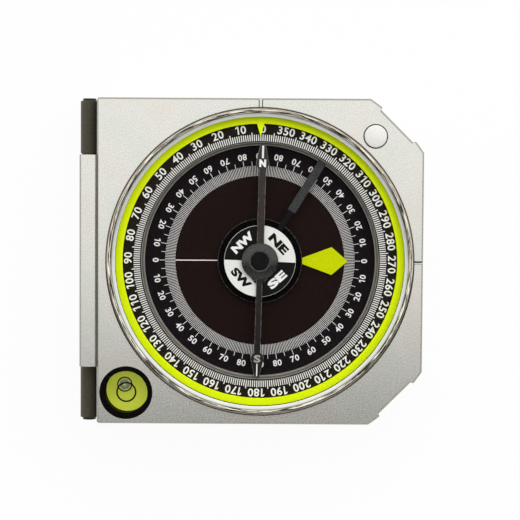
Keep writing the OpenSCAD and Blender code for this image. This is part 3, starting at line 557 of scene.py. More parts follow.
def dial_black():
    """Matt black plate, browner inside the scale, with a little dust."""
    material, tree, shader = new_finish("dial_black", (0.012, 0.009, 0.008), 0.55, 0.0, 0.03)
    fine = noise(tree, 2600)
    dust = noise(tree, 1500, 0.0)
    inner = mottle(tree, fine, (0.011, 0.0058, 0.005), (0.017, 0.0095, 0.0085))
    outer = mottle(tree, fine, (0.008, 0.0058, 0.0072), (0.013, 0.0095, 0.0115))
    zone = between(tree, dial_radius(tree), DIAL_TICK_R - ZONE_BLUR, DIAL_TICK_R)
    plate = blended(tree, inner, outer, zone, "MIX")
    specks = ramp(tree, dust, [(0.86, (0, 0, 0)), (0.9, (0.006, 0.005, 0.005))])
    colour_from(tree, shader, blended(tree, plate, specks, 1.0, "ADD"))
    roughness_from(tree, shader, fine, 0.48, 0.62)
    bump_from(tree, shader, fine, 0.0012 * MM)
    return material


def azimuth_black():
    """Black ring under its numbers, a little warmer than the dial."""
    dark, light = (0.011, 0.008, 0.007), (0.022, 0.016, 0.013)
    return grained("azimuth_black", dark, light, rough=(0.4, 0.55), grain=2400, depth=0.004 * MM, sheen=0.05)


def disc_black():
    """Deep black of the clinometer's hub, with a grey highlight painted along its rim."""
    dark, light = (0.002, 0.0018, 0.0018), (0.004, 0.0036, 0.0036)
    material = grained("disc_black", dark, light, rough=(0.4, 0.5), sheen=0.02)
    tree = material.node_tree
    shader = shader_of(material)
    # Painted highlight: a grey line along the hub's rim
    wear_and_painted_light = ramp(tree, noise(tree, 2600), [(0.4, (0.02, 0.019, 0.018)), (0.7, (0.14, 0.13, 0.125))])
    edge = between(tree, dial_radius(tree), CLINOMETER_RIM_R - WEAR_BLUR, CLINOMETER_RIM_R + WEAR_BLUR)
    colour_from(tree, shader, blended(tree, paint_of(shader), wear_and_painted_light, edge, "MIX"))
    return material


def level_black():
    """Matt black shell of the level."""
    dark, light = (0.003, 0.002, 0.002), (0.007, 0.006, 0.006)
    return grained("level_black", dark, light, rough=(0.7, 0.8), grain=1800, sheen=0.0)


def needle_black():
    """Dark brushed paint of the needle, its south half painted darker as shade and its edges painted lighter
    as highlights.
    """
    dark, light = (0.02, 0.015, 0.013), (0.045, 0.035, 0.031)
    rough = (0.3, 0.45)
    material = grained("needle_black", dark, light, rough, grain=2200, depth=0.004 * MM, sheen=0.3)
    tree = material.node_tree
    shader = shader_of(material)
    # Painted shade: the south half of the needle is painted darker
    half = ramp(tree, between(tree, distance(tree, "Y"), -PAD_R, PAD_R), [
        (0.05, (0.2, 0.18, 0.18)), (0.4, (0.4, 0.36, 0.36)), (0.5, (1, 1, 1)),
    ])
    # Painted highlights: the needle's edges are painted lighter
    wear_and_painted_light = ramp(tree, noise(tree, 900), [(0.35, (0.05, 0.042, 0.038)), (0.65, (0.26, 0.24, 0.23))])
    edge = ranged(tree, upright(tree), 1.0, 0.0, 0.9, 0.97)
    paint = blended(tree, paint_of(shader), half)
    colour_from(tree, shader, blended(tree, paint, wear_and_painted_light, edge, "MIX"))
    return material


def hub_black():
    """Rough dark casting of the needle's hub."""
    dark, light = (0.002, 0.002, 0.002), (0.022, 0.022, 0.021)
    return grained("hub_black", dark, light, rough=(0.22, 0.34), grain=2000, depth=0.03 * MM, sheen=0.8)


def cap_black():
    """Black plastic cap on the hub."""
    dark, light = (0.006, 0.006, 0.006), (0.011, 0.011, 0.0105)
    return grained("cap_black", dark, light, rough=(0.45, 0.6), depth=0.004 * MM, sheen=0.04)


def lever_grey():
    """Dark grey grainy metal of the lift lever."""
    material, tree, shader = new_finish("lever_grey", (0.045, 0.047, 0.047), 0.45, 0.0, 0.12)
    fine = noise(tree, 2600)
    bar = mottle(tree, fine, (0.03, 0.031, 0.031), (0.062, 0.064, 0.064))
    # Painted shade: the inner arm is painted near black, the bar outside it grey
    arm = mottle(tree, fine, (0.003, 0.003, 0.003), (0.007, 0.006, 0.006))
    zone = between(tree, dial_radius(tree), LEVER_STEP_R - ZONE_BLUR, LEVER_STEP_R)
    colour_from(tree, shader, blended(tree, arm, bar, zone, "MIX"))
    roughness_from(tree, shader, fine, 0.4, 0.55)
    bump_from(tree, shader, fine, 0.004 * MM)
    return material


def quadrant_white():
    """Off-white paint of the quadrant disc."""
    dark, light = (0.8, 0.81, 0.77), (0.88, 0.89, 0.85)
    return grained("quadrant_white", dark, light, rough=(0.4, 0.5), grain=1500, depth=0.002 * MM)


def white_ink():
    """White print, a touch uneven."""
    dark, light = (0.86, 0.86, 0.83), (0.96, 0.96, 0.94)
    return grained("white_ink", dark, light, rough=(0.45, 0.6), grain=2400, depth=0.002 * MM)


def black_ink():
    """Black print."""
    dark, light = (0.004, 0.0035, 0.0035), (0.009, 0.008, 0.008)
    return grained("black_ink", dark, light, rough=(0.4, 0.55), grain=2400, depth=0.002 * MM, sheen=0.1)


def grey_ink():
    """Worn grey print on the needle's south pad."""
    dark, light = (0.3, 0.3, 0.29), (0.44, 0.44, 0.42)
    return grained("grey_ink", dark, light, rough=(0.45, 0.6), grain=2400, depth=0.002 * MM)


def groove_ink():
    """Painted shade in the engraved lines."""
    dark, light = (0.012, 0.011, 0.01), (0.03, 0.028, 0.026)
    return grained("groove_ink", dark, light, rough=(0.5, 0.65), grain=2400, depth=0.002 * MM, sheen=0.1)


def lime_paint():
    """Bright lime gloss paint."""
    dark, light = (0.57, 0.66, 0.002), (0.64, 0.73, 0.003)
    return grained("lime_paint", dark, light, rough=(0.35, 0.45), grain=1200, sheen=0.02)


def lime_band():
    """Day-glow lime plastic of the index ring, with a glow painted in against the bezel's shade."""
    dark, light = (0.74, 0.92, 0.002), (0.82, 0.99, 0.003)
    material = grained("lime_band", dark, light, rough=(0.35, 0.45), grain=1200, sheen=0.1)
    return day_glow(material, light, BAND_PAINTED_GLOW)


def lime_plug():
    """Day-glow lime plastic seen at the bottom of the level, with a glow painted in against the shade of the
    deep cup.
    """
    dark, light = (0.8, 0.93, 0.08), (0.88, 0.98, 0.1)
    material = grained("lime_plug", dark, light, rough=(0.35, 0.5), grain=700, sheen=0.1)
    return day_glow(material, light, PLUG_PAINTED_GLOW)


def white_button():
    """Moulded white plastic."""
    dark, light = (0.79, 0.785, 0.75), (0.83, 0.825, 0.795)
    return grained("white_button", dark, light, rough=(0.25, 0.32), grain=2400, depth=0.001 * MM)


def black_rubber():
    """Matt black gasket."""
    dark, light = (0.012, 0.012, 0.012), (0.024, 0.024, 0.023)
    return grained("black_rubber", dark, light, rough=(0.7, 0.85), grain=1800, depth=0.008 * MM)


def turned_steel():
    """Machined steel of screws, pins and spring."""
    dark, light = (0.42, 0.42, 0.41), (0.62, 0.62, 0.6)
    return grained("turned_steel", dark, light, rough=(0.22, 0.36), metallic=1.0)


def blackened_steel():
    """Blackened steel of the screws in the hinge arms' ends."""
    dark, light = (0.02, 0.018, 0.015), (0.045, 0.04, 0.032)
    return grained("blackened_steel", dark, light, rough=(0.35, 0.5), metallic=0.5)


def turned_brass():
    """Machined brass of pivot post, bushes, collar and pinion."""
    dark, light = (0.55, 0.37, 0.12), (0.74, 0.53, 0.21)
    return grained("turned_brass", dark, light, rough=(0.24, 0.38), metallic=1.0)


def aged_brass():
    """Dull brown brass of the hinge washers."""
    dark, light = (0.07, 0.05, 0.024), (0.13, 0.095, 0.046)
    return grained("aged_brass", dark, light, rough=(0.4, 0.55), metallic=0.6)


def spun_copper():
    """Copper of the damping cup."""
    dark, light = (0.5, 0.24, 0.13), (0.68, 0.35, 0.2)
    return grained("spun_copper", dark, light, rough=(0.28, 0.42), grain=2000, metallic=1.0)


def silvered_mirror():
    """Silvered glass with faint smudges."""
    material, tree, shader = new_finish("silvered_mirror", (0.9, 0.91, 0.91), 0.03, 1.0)
    smudge = noise(tree, 90, 3.0)
    colour_from(tree, shader, ramp(tree, smudge, [(0.35, (0.86, 0.87, 0.87)), (0.65, (0.93, 0.94, 0.94))]))
    roughness_from(tree, shader, smudge, 0.02, 0.08)
    return material


def clear_glass():
    """Coated clear window: opaque only as far as its faces reflect, so light passes; faint smudges."""
    material, tree, shader = new_finish("clear_glass", (0.95, 0.96, 0.95), 0.04, 1.0)
    facing = tree.nodes.new("ShaderNodeLayerWeight").outputs["Facing"]
    slant = number_step(tree, "POWER", facing, SLANT_POWER)
    flat = between(tree, upright(tree), 0.3, 0.7)
    tree.links.new(number_step(tree, "MULTIPLY", slant, flat), shader.inputs["Alpha"])
    smudge = noise(tree, 120, 3.0)
    colour_from(tree, shader, ramp(tree, smudge, [(0.35, (0.9, 0.91, 0.9)), (0.65, (0.98, 0.99, 0.98))]))
    roughness_from(tree, shader, smudge, 0.03, 0.1)
    return material


def lime_fluid():
    """Tinted spirit in the level."""
    material, tree, shader = new_finish("lime_fluid", (0.8, 0.9, 0.02), 0.1, 0.0, 0.1)
    shader.inputs["Alpha"].default_value = 0.02
    cloud = noise(tree, 400)
    colour_from(tree, shader, mottle(tree, cloud, (0.76, 0.86, 0.015), (0.84, 0.94, 0.025)))
    roughness_from(tree, shader, cloud, 0.06, 0.14)
    return material


def bubble_air():
    """Air bubble with its light and shade painted: a pale rim, a darker crescent and a bright middle, with a
    glossy skin.
    """
    material, tree, shader = new_finish("bubble_air", (0.3, 0.33, 0.15), 0.08)
    shader.inputs["Alpha"].default_value = 0.75
    cloud = noise(tree, 700)
    middle = Vector((BUBBLE_X, BUBBLE_Y, 0))
    # Painted light and shade: bright middle, darker crescent, pale rim
    shade = ramp(tree, spread(tree, middle, BUBBLE_R), [
        (0.0, (0.7, 0.74, 0.55)), (0.25, (0.3, 0.33, 0.16)),
        (0.55, (0.17, 0.2, 0.06)), (0.78, (0.48, 0.54, 0.22)),
    ])
    tone = ramp(tree, cloud, [(0.35, (0.8, 0.8, 0.8)), (0.65, (1, 1, 1))])
    colour_from(tree, shader, blended(tree, shade, tone))
    roughness_from(tree, shader, cloud, 0.05, 0.15)
    return material


def red_jewel():
    """Polished red jewel."""
    material, tree, shader = new_finish("red_jewel", (0.5, 0.03, 0.08), 0.08)
    cloud = noise(tree, 1500)
    colour_from(tree, shader, mottle(tree, cloud, (0.4, 0.02, 0.06), (0.6, 0.05, 0.11)))
    roughness_from(tree, shader, cloud, 0.05, 0.14)
    return material


# Nodes that keep their own mesh, by finish
FINISH_NODES = [
    (dial_black, ["dial_plate"]),
    (azimuth_black, ["azimuth_ring"]),
    (lime_plug, ["level_plug"]),
    (black_rubber, ["lens_gasket"]),
    (silvered_mirror, ["lid_mirror"]),
    (clear_glass, ["crystal_lens", "level_window"]),
    (red_jewel, ["jewel_bearing"]),
    (spun_copper, ["damping_cup"]),
    (turned_brass, ["pivot_post", "clinometer_bush", "declination_pinion", "lift_collar", "button_bushing"]),
    (aged_brass, ["upper_hinge_washers", "lower_hinge_washers"]),
    (turned_steel, [
        "bottom_cover_screws", "bracket_screws", "lever_pin", "upper_hinge_pin",
        "lower_hinge_pin", "declination_shaft",
    ]),
    (blackened_steel, ["hinge_end_screws"]),
]

# Nodes whose sharp edges are softened in a copy, by finish:
# node, copy, body, slot, edge in mm, its steps, whether it stops where edges meet
SOFT_NODES = [
    (body_aluminium, [("body_housing", "body_shell", "compass_body", "body_metal", 0.06, 2, False)]),
    (blasted_aluminium, [
        ("bottom_cover", "cover_plate", "compass_body", "body_metal", 0.15, 2, True),
        ("hinge_bracket", "hinge_block", "compass_body", "body_metal", 0.06, 2, False),
        ("lid_plate", "lid_shell", "lid", "body_metal", 0.15, 2, False),
    ]),
    (dark_hinge_paint, [
        ("link_arm_north", "arm_north", "hinge_link", "dark_metal", 0.25, 3, True),
        ("link_arm_south", "arm_south", "hinge_link", "dark_metal", 0.25, 3, True),
    ]),
    (disc_black, [("clinometer_disc", "clinometer_hub", "clinometer", "black_metal", 0.15, 2, True)]),
    (level_black, [("level_cup", "level_shell", "compass_body", "black_metal", 0.15, 2, True)]),
    (needle_black, [("needle_bar", "needle_blade", "needle", "needle_metal", 0.12, 2, True)]),
    (hub_black, [("needle_hub", "hub_casting", "needle", "needle_metal", 0.2, 3, False)]),
    (cap_black, [("needle_cap", "hub_cap", "needle", "black_metal", 0.15, 2, True)]),
    (lever_grey, [
        ("lift_lever", "lift_bar", "lever", "lever_metal", 0.12, 2, True),
        ("lever_post", "lever_stand", "compass_body", "lever_metal", 0.1, 2, True),
    ]),
    (quadrant_white, [("quadrant_disc", "quadrant_plate", "needle", "quadrant_paint", 0.06, 2, True)]),
    (lime_band, [("index_ring", "index_band", "compass_body", "lime_paint", 0.1, 2, True)]),
    (lime_paint, [("clinometer_pointer", "kite_pointer", "clinometer", "lime_paint", 0.05, 2, True)]),
    (white_button, [("lock_button", "button_dome", "button", "white_plastic", 0.8, 6, True)]),
]


def finish_nodes():
    """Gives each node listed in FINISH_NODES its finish."""
    for make, names in FINISH_NODES:
        material = make()
        for name in names:
            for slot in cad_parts[name].material_slots:
                slot.material = material


# Modelling


def deselect():
    bpy.ops.object.select_all(action="DESELECT")


def select_only(*pieces):
    deselect()
    for piece in pieces:
        piece.select_set(True)
    bpy.context.view_layer.objects.active = pieces[0]


def enter_edit():
    bpy.ops.object.mode_set(mode="EDIT")


def edit_all():
    enter_edit()
    bpy.ops.mesh.select_all(action="SELECT")


def leave_edit():
    bpy.ops.object.mode_set(mode="OBJECT")


def apply_place():
    bpy.ops.object.transform_apply(location=True, rotation=True, scale=True)


def linked(name, data):
    """A new object of the scene that holds the data."""
    piece = bpy.data.objects.new(name, data)
    bpy.context.scene.collection.objects.link(piece)
    return piece


def joined(pieces):
    """One piece made of several."""
    select_only(*pieces)
    bpy.ops.object.join()
    return bpy.context.object


def dress(piece, name, material):
    """Names a finished piece and gives it its finish."""
    piece.name = name
    piece.data.name = name
    piece.data.materials.clear()
    piece.data.materials.append(material)


def settle(piece, name, body, material):
    """Dresses a finished piece and lets it ride on its body."""
    dress(piece, name, material)
    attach(piece, body)


def select_faces(piece, wanted):
    """Selects the wanted faces of the active piece and leaves it in edit mode."""
    enter_edit()
    bpy.ops.mesh.select_mode(type="FACE")
    bpy.ops.mesh.select_all(action="DESELECT")
    leave_edit()
    for face in piece.data.polygons:
        face.select = wanted(face)
    enter_edit()


def printed_bar(width, length, place, turn):
    """A printed bar with a crowned top, lying along the direction of its turn."""
    size = (width, length, PRINT_T)
    deselect()
    bpy.ops.mesh.primitive_cube_add(size=1, location=place, rotation=(0, 0, turn), scale=size)
    apply_place()
    bar = bpy.context.object
    select_faces(bar, lambda face: face.normal.z > FACING)
    bpy.ops.mesh.inset(thickness=width * CROWN_INSET, depth=CROWN)
    leave_edit()
    return bar


def on_bearing(radius, bearing, height):
    """Point at a bearing clockwise from north."""
    return Vector((radius * math.sin(bearing), radius * math.cos(bearing), height))


def tick_lengths(tens, fives, ones):
    """Lengths of the ten ticks from one ten to the next."""
    return [tens] + [ones] * 4 + [fives] + [ones] * 4


def tick_ring(inner_r, lengths, width, height, turn):
    """Ten ticks of the given lengths over ten degrees, copied round the dial axis."""
    ticks = []
    for step, length in enumerate(lengths):
        bearing = math.radians(step) - turn
        place = on_bearing(inner_r + length / 2, bearing, height)
        ticks.append(printed_bar(width, length, place, -bearing))
    ring = joined(ticks)
    edit_all()
    copies = 360 // len(lengths) - 1
    angle = math.radians(copies * len(lengths))
    bpy.ops.mesh.spin(steps=copies, dupli=True, angle=angle, center=(0, 0, 0), axis=(0, 0, 1))
    leave_edit()
    return ring


def raised_word(text, weight):
    """A raised word as a mesh, centred on its own origin; weight thickens its strokes."""
    deselect()
    bpy.ops.object.text_add()
    text_data = bpy.context.object.data
    text_data.body = text
    text_data.offset = weight
    text_data.extrude = WORD_HALF_T
    text_data.resolution_u = WORD_CURVE_STEPS
    bpy.ops.object.convert(target="MESH")
    edit_all()
    bpy.ops.mesh.remove_doubles(threshold=WORD_MERGE)
    bpy.ops.mesh.normals_make_consistent(inside=False)
    leave_edit()
    bpy.ops.object.origin_set(type="ORIGIN_GEOMETRY", center="BOUNDS")
    return bpy.context.object


def lay(word, scale, place, turn):
    """Sizes a word, lays it in its place and applies both."""
    word.scale = (scale[0], scale[1], PRINT_T)
    word.rotation_euler = (0, 0, turn)
    word.location = place
    select_only(word)
    apply_place()
    return word


def lay_fitted(word, width, height, place, turn):
    """Lays a word that is fitted into a width and a height."""
    return lay(word, (width / word.dimensions.x, height / word.dimensions.y), place, turn)


def number_scale(weight, width, height):
    """Scale at which a zero has the given width and height, and the zero's own width."""
    sample = raised_word("0", weight)
    zero_w = sample.dimensions.x
    scale = (width / zero_w, height / sample.dimensions.y)
    bpy.ops.object.delete()
    return scale, zero_w


def raised_one(weight):
    """A one with a flag at its head, as tall as the other figures."""
    height = raised_word("0", weight).dimensions.y
    bpy.ops.object.delete()
    size = (ONE_STROKE + 2 * weight, height, 1)
    deselect()
    bpy.ops.mesh.primitive_cube_add(size=1, location=(ONE_SHIFT, 0, 0), scale=size)
    apply_place()
    figure = bpy.context.object
    flag_y = height * ONE_FLAG_FROM
    edit_all()
    bpy.ops.mesh.bisect(plane_co=(0, flag_y, 0), plane_no=(0, 1, 0))
    leave_edit()
    select_faces(figure, lambda face: face.normal.x < -FACING and face.center.y > flag_y)
    bpy.ops.mesh.extrude_region_move(TRANSFORM_OT_translate={"value": ONE_FLAG})
    leave_edit()
    bpy.ops.object.origin_set(type="ORIGIN_GEOMETRY", center="BOUNDS")
    figure.location = (0, 0, 0)
    return figure


def raised_number(text, weight, zero_w):
    """A number as one mesh about its own origin, its figures a pitch apart."""
    pitch = zero_w * NUMBER_PITCH
    figures = []
    for place, figure in enumerate(text):
        piece = raised_one(weight) if figure == "1" else raised_word(figure, weight)
        piece.location = ((place - (len(text) - 1) / 2) * pitch, 0, 0)
        select_only(piece)
        apply_place()
        figures.append(piece)
    return joined(figures)


def closed_up():
    """Merges the doubles of the piece in edit mode and turns its faces outwards."""
    bpy.ops.mesh.select_all(action="SELECT")
    bpy.ops.mesh.remove_doubles(threshold=MERGE)
    bpy.ops.mesh.normals_make_consistent(inside=False)


def turned(section, angle=2 * math.pi, steps=TURN_STEPS):
    """A closed section, as radii and heights, drawn from point to point and spun about the dial axis."""
    deselect()
    bpy.ops.mesh.primitive_plane_add(size=MM)
    piece = bpy.context.object
    enter_edit()
    bpy.ops.mesh.select_mode(type="VERT")
    bpy.ops.mesh.select_all(action="SELECT")
    bpy.ops.mesh.merge(type="CENTER")
    bpy.ops.transform.translate(value=(section[0][0], 0, section[0][1]))
    for (r_from, z_from), (r_to, z_to) in zip(section, section[1:] + section[:1]):
        step = (r_to - r_from, 0, z_to - z_from)
        bpy.ops.mesh.extrude_vertices_move(TRANSFORM_OT_translate={"value": step})
    bpy.ops.mesh.select_all(action="SELECT")
    bpy.ops.mesh.remove_doubles(threshold=MERGE)
    if angle < 2 * math.pi:
        bpy.ops.mesh.edge_face_add()
    bpy.ops.mesh.select_all(action="SELECT")
    bpy.ops.mesh.spin(steps=steps, angle=angle, center=(0, 0, 0), axis=(0, 0, 1))
    closed_up()
    leave_edit()
    bpy.ops.object.shade_smooth_by_angle(angle=TURNED_SMOOTH)
    return piece


def band(r_in, r_out, low, high):
    """The section of a flat ring."""
    return [(r_in, low), (r_out, low), (r_out, high), (r_in, high)]


def in_metres(section, lift=0.0):
    """A section given in mm, in metres above a height."""
    return [(r * MM, lift + z * MM) for r, z in section]


def copied(node, name):
    """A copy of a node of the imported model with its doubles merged, left in edit mode."""
    piece = linked(name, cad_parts[node].data.copy())
    select_only(piece)
    bpy.ops.mesh.customdata_custom_splitnormals_clear()
    edit_all()
    bpy.ops.mesh.remove_doubles(threshold=COPY_MERGE)
    return piece


def softened(node, name, body, slot, material, edge, steps, clamp):
    """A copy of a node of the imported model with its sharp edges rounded, which stands for the node."""
    piece = copied(node, name)
    bpy.ops.mesh.dissolve_limited(angle_limit=FLAT_WITHIN)
    leave_edit()
    bpy.ops.object.shade_smooth_by_angle(angle=COPY_SMOOTH)
    bevel = piece.modifiers.new("soft_edge", "BEVEL")
    bevel.width = edge * MM
    bevel.segments = steps
    bevel.limit_method = "ANGLE"
    bevel.angle_limit = SOFT_FROM
    bevel.use_clamp_overlap = clamp
    bpy.ops.object.modifier_apply(modifier=bevel.name)
    bpy.ops.object.shade_smooth_by_angle(angle=SOFT_SMOOTH)
    level = piece.modifiers.new("flat_faces", "WEIGHTED_NORMAL")
    level.keep_sharp = True
    bpy.ops.object.modifier_apply(modifier=level.name)
    settle(piece, name, body, material)
    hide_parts(node)


def soften_nodes():
    """Makes the softened copies."""
    for make, rows in SOFT_NODES:
        material = make()
        for node, name, body, slot, *edge in rows:
            softened(node, name, body, slot, material, *edge)


def moved(piece, shift, turn=0.0):
    """Turns a piece about the dial axis, then shifts it, and applies both."""
    select_only(piece)
    piece.matrix_world = Matrix.Translation(shift) @ Matrix.Rotation(turn, 4, "Z")
    apply_place()


# Painted shade in the engraved lines at the north and east edges


def groove_lines(ink):
    """Painted shade along the walls of the two engraved lines, just below the body's face."""
    height = BODY_Z - PRINT_T
    length = BODY_HALF - GROOVE_R
    middle = (BODY_HALF + GROOVE_R) / 2
    # The ink passed in here is the painted shade of the grooves
    for name, side in (("north_line_west", -1), ("north_line_east", 1)):
        place = Vector((side * (NORTH_GROOVE_W - NORTH_LINE_W) / 2, middle, height))
        line = printed_bar(NORTH_LINE_W, length, place, 0.0)
        settle(line, name, "compass_body", ink)
    place = Vector((middle, (EAST_GROOVE_W - EAST_LINE_W) / 2, height))
    line = printed_bar(EAST_LINE_W, length, place, math.pi / 2)
    settle(line, "east_line", "compass_body", ink)


# Rings and spring


def bezel(material):
    """Bezel with a rounded crest and a cove down to the lens."""
    ring = turned(in_metres(BEZEL_SECTION))
    settle(ring, "bezel_turned", "compass_body", material)
    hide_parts("bezel_ring")


def rim(material):
    """Ring between the two scales, its inner side sloping down to the dial."""
    ring = turned(in_metres(RIM_SECTION))
    settle(ring, "rim_ring", "compass_body", material)
    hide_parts("dial_rim")


def return_spring(material):
    """Copy of the button's spring, which stands for it."""
    spring = copied("button_spring", "return_spring")
    leave_edit()
    bpy.ops.object.shade_smooth_by_angle(angle=COIL_SMOOTH)
    dress(spring, "return_spring", material)
    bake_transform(spring)
    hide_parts("button_spring")


# Printed scales


def number_ring(figures, radius, height, width, number_h):
    """Numbers round the dial axis as one piece; each figure has a text, a bearing and a turn."""
    scale, zero_w = number_scale(NUMBER_WEIGHT, width, number_h)
    words = []
    for text, bearing, turn in figures:
        place = on_bearing(radius, bearing, height)
        words.append(lay(raised_number(text, NUMBER_WEIGHT, zero_w), scale, place, turn))
    return joined(words)


def azimuth_print(ink):
    """Ticks and numbers of the azimuth ring."""
    lengths = tick_lengths(AZIMUTH_TICK_10, AZIMUTH_TICK_5, AZIMUTH_TICK_1)
    ticks = tick_ring(AZIMUTH_TICK_R, lengths, AZIMUTH_TICK_W, AZIMUTH_Z, AZIMUTH_TURN)
    settle(ticks, "azimuth_ticks", "azimuth", ink)
    figures = []
    for degrees in range(0, 360, 10):
        turn = math.radians(degrees) + AZIMUTH_TURN
        figures.append((str(degrees), -turn, turn))
    numbers = number_ring(figures, AZIMUTH_NUMBER_R, AZIMUTH_Z, AZIMUTH_DIGIT_W, AZIMUTH_NUMBER_H)
    settle(numbers, "azimuth_numbers", "azimuth", ink)


def dial_print(ink):
    """Ticks and numbers of the dial, and the line that marks its zero in the west."""
    lengths = tick_lengths(DIAL_TICK_10, DIAL_TICK_5, DIAL_TICK_1)
    ticks = tick_ring(DIAL_TICK_R, lengths, DIAL_TICK_W, DIAL_Z, 0.0)
    settle(ticks, "dial_ticks", "compass_body", ink)
    figures = []
    for degrees in range(0, 360, 10):
        from_pole = abs((degrees + 90) % 180 - 90)
        bearing = math.radians(degrees)
        figures.append((str(90 - from_pole), bearing, math.pi - bearing))
    numbers = number_ring(figures, DIAL_NUMBER_R, DIAL_Z, DIAL_DIGIT_W, DIAL_NUMBER_H)
    settle(numbers, "dial_numbers", "compass_body", ink)
    length = DIAL_TICK_R - DIAL_LINE_R
    place = Vector((-DIAL_LINE_R - length / 2, 0, DIAL_Z))
    line = printed_bar(DIAL_LINE_W, length, place, math.pi / 2)
    settle(line, "dial_line", "compass_body", ink)


# Needle


def quadrant_print(light, dark):
    """Two black quarters of the needle's disc, and the letters of all four."""
    low, high = QUADRANT_Z - PRINT_T / 2, QUADRANT_Z + PRINT_T / 2
    section = band(QUARTER_HOLE_R, QUADRANT_R - QUARTER_EDGE, low, high)
    for name, bearing in (("quarter_north_west", 180), ("quarter_south_east", 0)):
        quarter = turned(section, math.pi / 2, QUARTER_STEPS)
        moved(quarter, Vector((0, 0, 0)), math.radians(bearing) + QUADRANT_TURN)
        settle(quarter, name, "needle", dark)
    for text, bearing, turn, width, on_black in QUARTER_WORDS:
        ink, height = (light, high) if on_black else (dark, QUADRANT_Z)
        place = on_bearing(QUARTER_LETTER_R, math.radians(bearing) - QUADRANT_TURN, height)
        word = raised_word(text, QUARTER_LETTER_WEIGHT)
        lay_fitted(word, width, QUARTER_LETTER_H, place, math.radians(turn) + QUADRANT_TURN)
        settle(word, "quadrant_" + text.lower(), "needle", ink)


def hub_cone(material):
    """Low cone that rises from the hub to its cap."""
    cone = turned(in_metres(HUB_CONE, HUB_Z), steps=SMALL_TURN_STEPS)
    settle(cone, "hub_cone", "needle", material)


def needle_print(light, wear_and_painted_light):
    """Letter and line at each end of the needle."""
    ends = (
        ("north", "N", 0.0, light, PAD_NORTH_WEIGHT, NORTH_TIP_W),
        ("south", "S", math.pi, wear_and_painted_light, PAD_SOUTH_WEIGHT, SOUTH_TIP_W),
    )
    for name, text, bearing, ink, weight, tip_w in ends:
        place = on_bearing(PAD_R, bearing - NEEDLE_TURN, NEEDLE_Z)
        word = lay_fitted(raised_word(text, weight), PAD_LETTER_W, PAD_LETTER_H, place, NEEDLE_TURN)
        settle(word, "needle_letter_" + name, "needle", ink)
        place = on_bearing(TIP_LINE_R, bearing - NEEDLE_TURN, NEEDLE_Z)
        line = printed_bar(tip_w, TIP_LINE_L, place, NEEDLE_TURN)
        settle(line, "needle_line_" + name, "needle", light)


# Level


def level_spirit(fluid):
    """Spirit that fills the level, just clear of the window and of the plug."""
    low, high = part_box("level_fluid")
    radius = (high.x - low.x) / 2 - PRINT_T
    section = band(0.0, radius, low.z + PRINT_T, high.z - 1.5 * PRINT_T)
    spirit = turned(section, steps=SMALL_TURN_STEPS)
    moved(spirit, Vector((LEVEL_X, LEVEL_Y, 0)))
    settle(spirit, "level_spirit", "compass_body", fluid)
    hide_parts("level_fluid")


def level_target(ink):
    """Black ring under the level's window."""
    section = band(TARGET_R - TARGET_W, TARGET_R, WINDOW_LOW_Z - PRINT_T / 2, WINDOW_LOW_Z + PRINT_T / 2)
    ring = turned(section, steps=THIN_RING_STEPS)
    moved(ring, Vector((LEVEL_X, LEVEL_Y, 0)))
    settle(ring, "level_target", "compass_body", ink)


def level_bubble(air, ink):
    """Flat-topped bubble under the window, with a dark ring painted at its edge as shade."""
    deselect()
    bpy.ops.mesh.primitive_uv_sphere_add(segments=BUBBLE_SEGMENTS, ring_count=BUBBLE_RINGS, radius=BUBBLE_R)
    bubble = bpy.context.object
    edit_all()
    bpy.ops.transform.resize(value=(1, 1, BUBBLE_DEPTH / BUBBLE_R), center_override=(0, 0, 0))
    bpy.ops.mesh.bisect(plane_co=(0, 0, 0), plane_no=(0, 0, 1), use_fill=True, clear_outer=True)
    leave_edit()
    bpy.ops.object.shade_smooth_by_angle(angle=TURNED_SMOOTH)
    moved(bubble, Vector((BUBBLE_X, BUBBLE_Y, WINDOW_LOW_Z - PRINT_T)))
    settle(bubble, "level_bubble", "compass_body", air)
    # Painted shade: a dark ring round the bubble's edge
    section = band(BUBBLE_R - BUBBLE_EDGE, BUBBLE_R, WINDOW_LOW_Z - 2 * PRINT_T, WINDOW_LOW_Z - PRINT_T / 2)
    edge = turned(section, steps=THIN_RING_STEPS)
    moved(edge, Vector((BUBBLE_X, BUBBLE_Y, 0)))
    settle(edge, "level_bubble_edge", "compass_body", ink)


# Studio


def mixed(tree, share, first, second):
    """Two shaders mixed by a share."""
    node = tree.nodes.new("ShaderNodeMixShader")
    tree.links.new(share, node.inputs["Fac"])
    tree.links.new(first, node.inputs[1])
    tree.links.new(second, node.inputs[2])
    return node.outputs["Shader"]


def floor_white():
    """White that glows for the eye, keeps the object's shadow and is clear from below."""
    material = bpy.data.materials.new("studio_white")
    material.use_nodes = True
    tree = material.node_tree
    tree.nodes.clear()
    diffuse = tree.nodes.new("ShaderNodeBsdfDiffuse")
    diffuse.inputs["Color"].default_value = (0.9, 0.9, 0.9, 1)
    glow = tree.nodes.new("ShaderNodeEmission")
    glow.inputs["Color"].default_value = (1, 1, 1, 1)
    glow.inputs["Strength"].default_value = 1.0
    clear = tree.nodes.new("ShaderNodeBsdfTransparent")
    path = tree.nodes.new("ShaderNodeLightPath").outputs
    seen = number_step(tree, "MAXIMUM", path["Is Camera Ray"], path["Is Glossy Ray"])
    seen_too = number_step(tree, "MAXIMUM", seen, path["Is Transmission Ray"])
    share = number_step(tree, "MULTIPLY", seen_too, FLOOR_GLOW)
    lit = mixed(tree, share, diffuse.outputs["BSDF"], glow.outputs["Emission"])
    below = tree.nodes.new("ShaderNodeNewGeometry").outputs["Backfacing"]
    output = tree.nodes.new("ShaderNodeOutputMaterial")
    tree.links.new(mixed(tree, below, lit, clear.outputs["BSDF"]), output.inputs["Surface"])
    return material


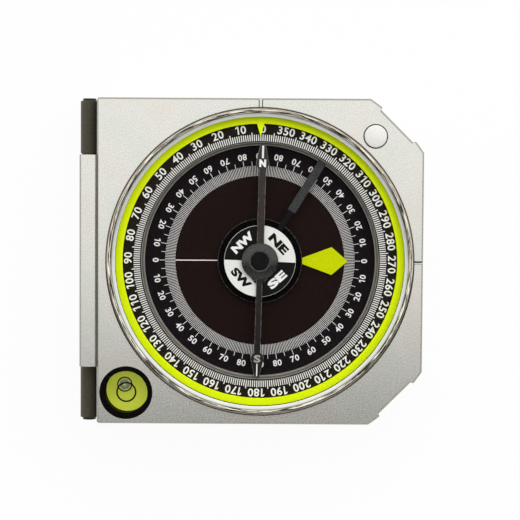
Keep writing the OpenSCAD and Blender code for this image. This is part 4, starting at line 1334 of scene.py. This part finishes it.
def floor():
    """Floor under the object, which is part of the stage."""
    deselect()
    bpy.ops.mesh.primitive_plane_add(size=FLOOR_SIZE, location=(0, 0, cad_box[0].z - FLOOR_GAP))
    plane = bpy.context.object
    plane.name = "studio_floor"
    plane.data.materials.append(floor_white())


def softbox():
    """A soft lamp in the north-east, seen neither by the eye nor in reflections."""
    data = bpy.data.lights.new("north_softbox", "AREA")
    data.shape = "RECTANGLE"
    data.size, data.size_y = LAMP_SIZE
    data.energy = LAMP_POWER
    data.color = LAMP_COLOUR
    piece = linked("north_softbox", data)
    piece.location = LAMP_PLACE
    piece.rotation_euler = (LAMP_AIM - LAMP_PLACE).to_track_quat("-Z", "Y").to_euler()
    piece.visible_camera = False
    piece.visible_glossy = False


def sky():
    """Surroundings: bright overhead and in the north, dark just to the south, paler further down."""
    world = bpy.data.worlds.new("studio_world")
    bpy.context.scene.world = world
    world.use_nodes = True
    tree = world.node_tree
    direction = tree.nodes.new("ShaderNodeSeparateXYZ")
    tree.links.new(tree.nodes.new("ShaderNodeTexCoord").outputs["Generated"], direction.inputs["Vector"])
    north = between(tree, direction.outputs["Y"], -1.0, 1.0)
    light = ramp(tree, north, [(place, (bright, bright, bright)) for place, bright in SKY])
    tree.links.new(light, tree.nodes["Background"].inputs["Color"])


def camera():
    """Camera above the dial, leaning north, with the photograph's slight roll."""
    data = bpy.data.cameras.new("camera")
    data.sensor_width = SENSOR_W
    data.lens = SENSOR_W * CAMERA_D / PHOTO_SPAN
    data.clip_start = CAMERA_CLIP
    back = Vector((0, math.sin(CAMERA_LEAN), math.cos(CAMERA_LEAN)))
    up = Vector((-math.sin(CAMERA_ROLL), math.cos(CAMERA_ROLL), 0))
    right = up.cross(back).normalized()
    up = back.cross(right)
    turn = Matrix((right, up, back)).transposed()
    piece = linked("camera", data)
    piece.matrix_world = Matrix.Translation(CAMERA_AIM + back * CAMERA_D) @ turn.to_4x4()
    bpy.context.scene.camera = piece


finish_nodes()
soften_nodes()
bezel(turned_bezel())
rim(turned_rim())
return_spring(bpy.data.materials["turned_steel"])
groove_lines(groove_ink())
white = white_ink()
black = black_ink()
azimuth_print(white)
dial_print(white)
quadrant_print(white, black)
needle_print(white, grey_ink())
hub_cone(bpy.data.materials["hub_black"])
level_spirit(lime_fluid())
level_target(black)
level_bubble(bubble_air(), black)
floor()
softbox()
sky()
camera()
bpy.context.scene.view_settings.view_transform = "Standard"
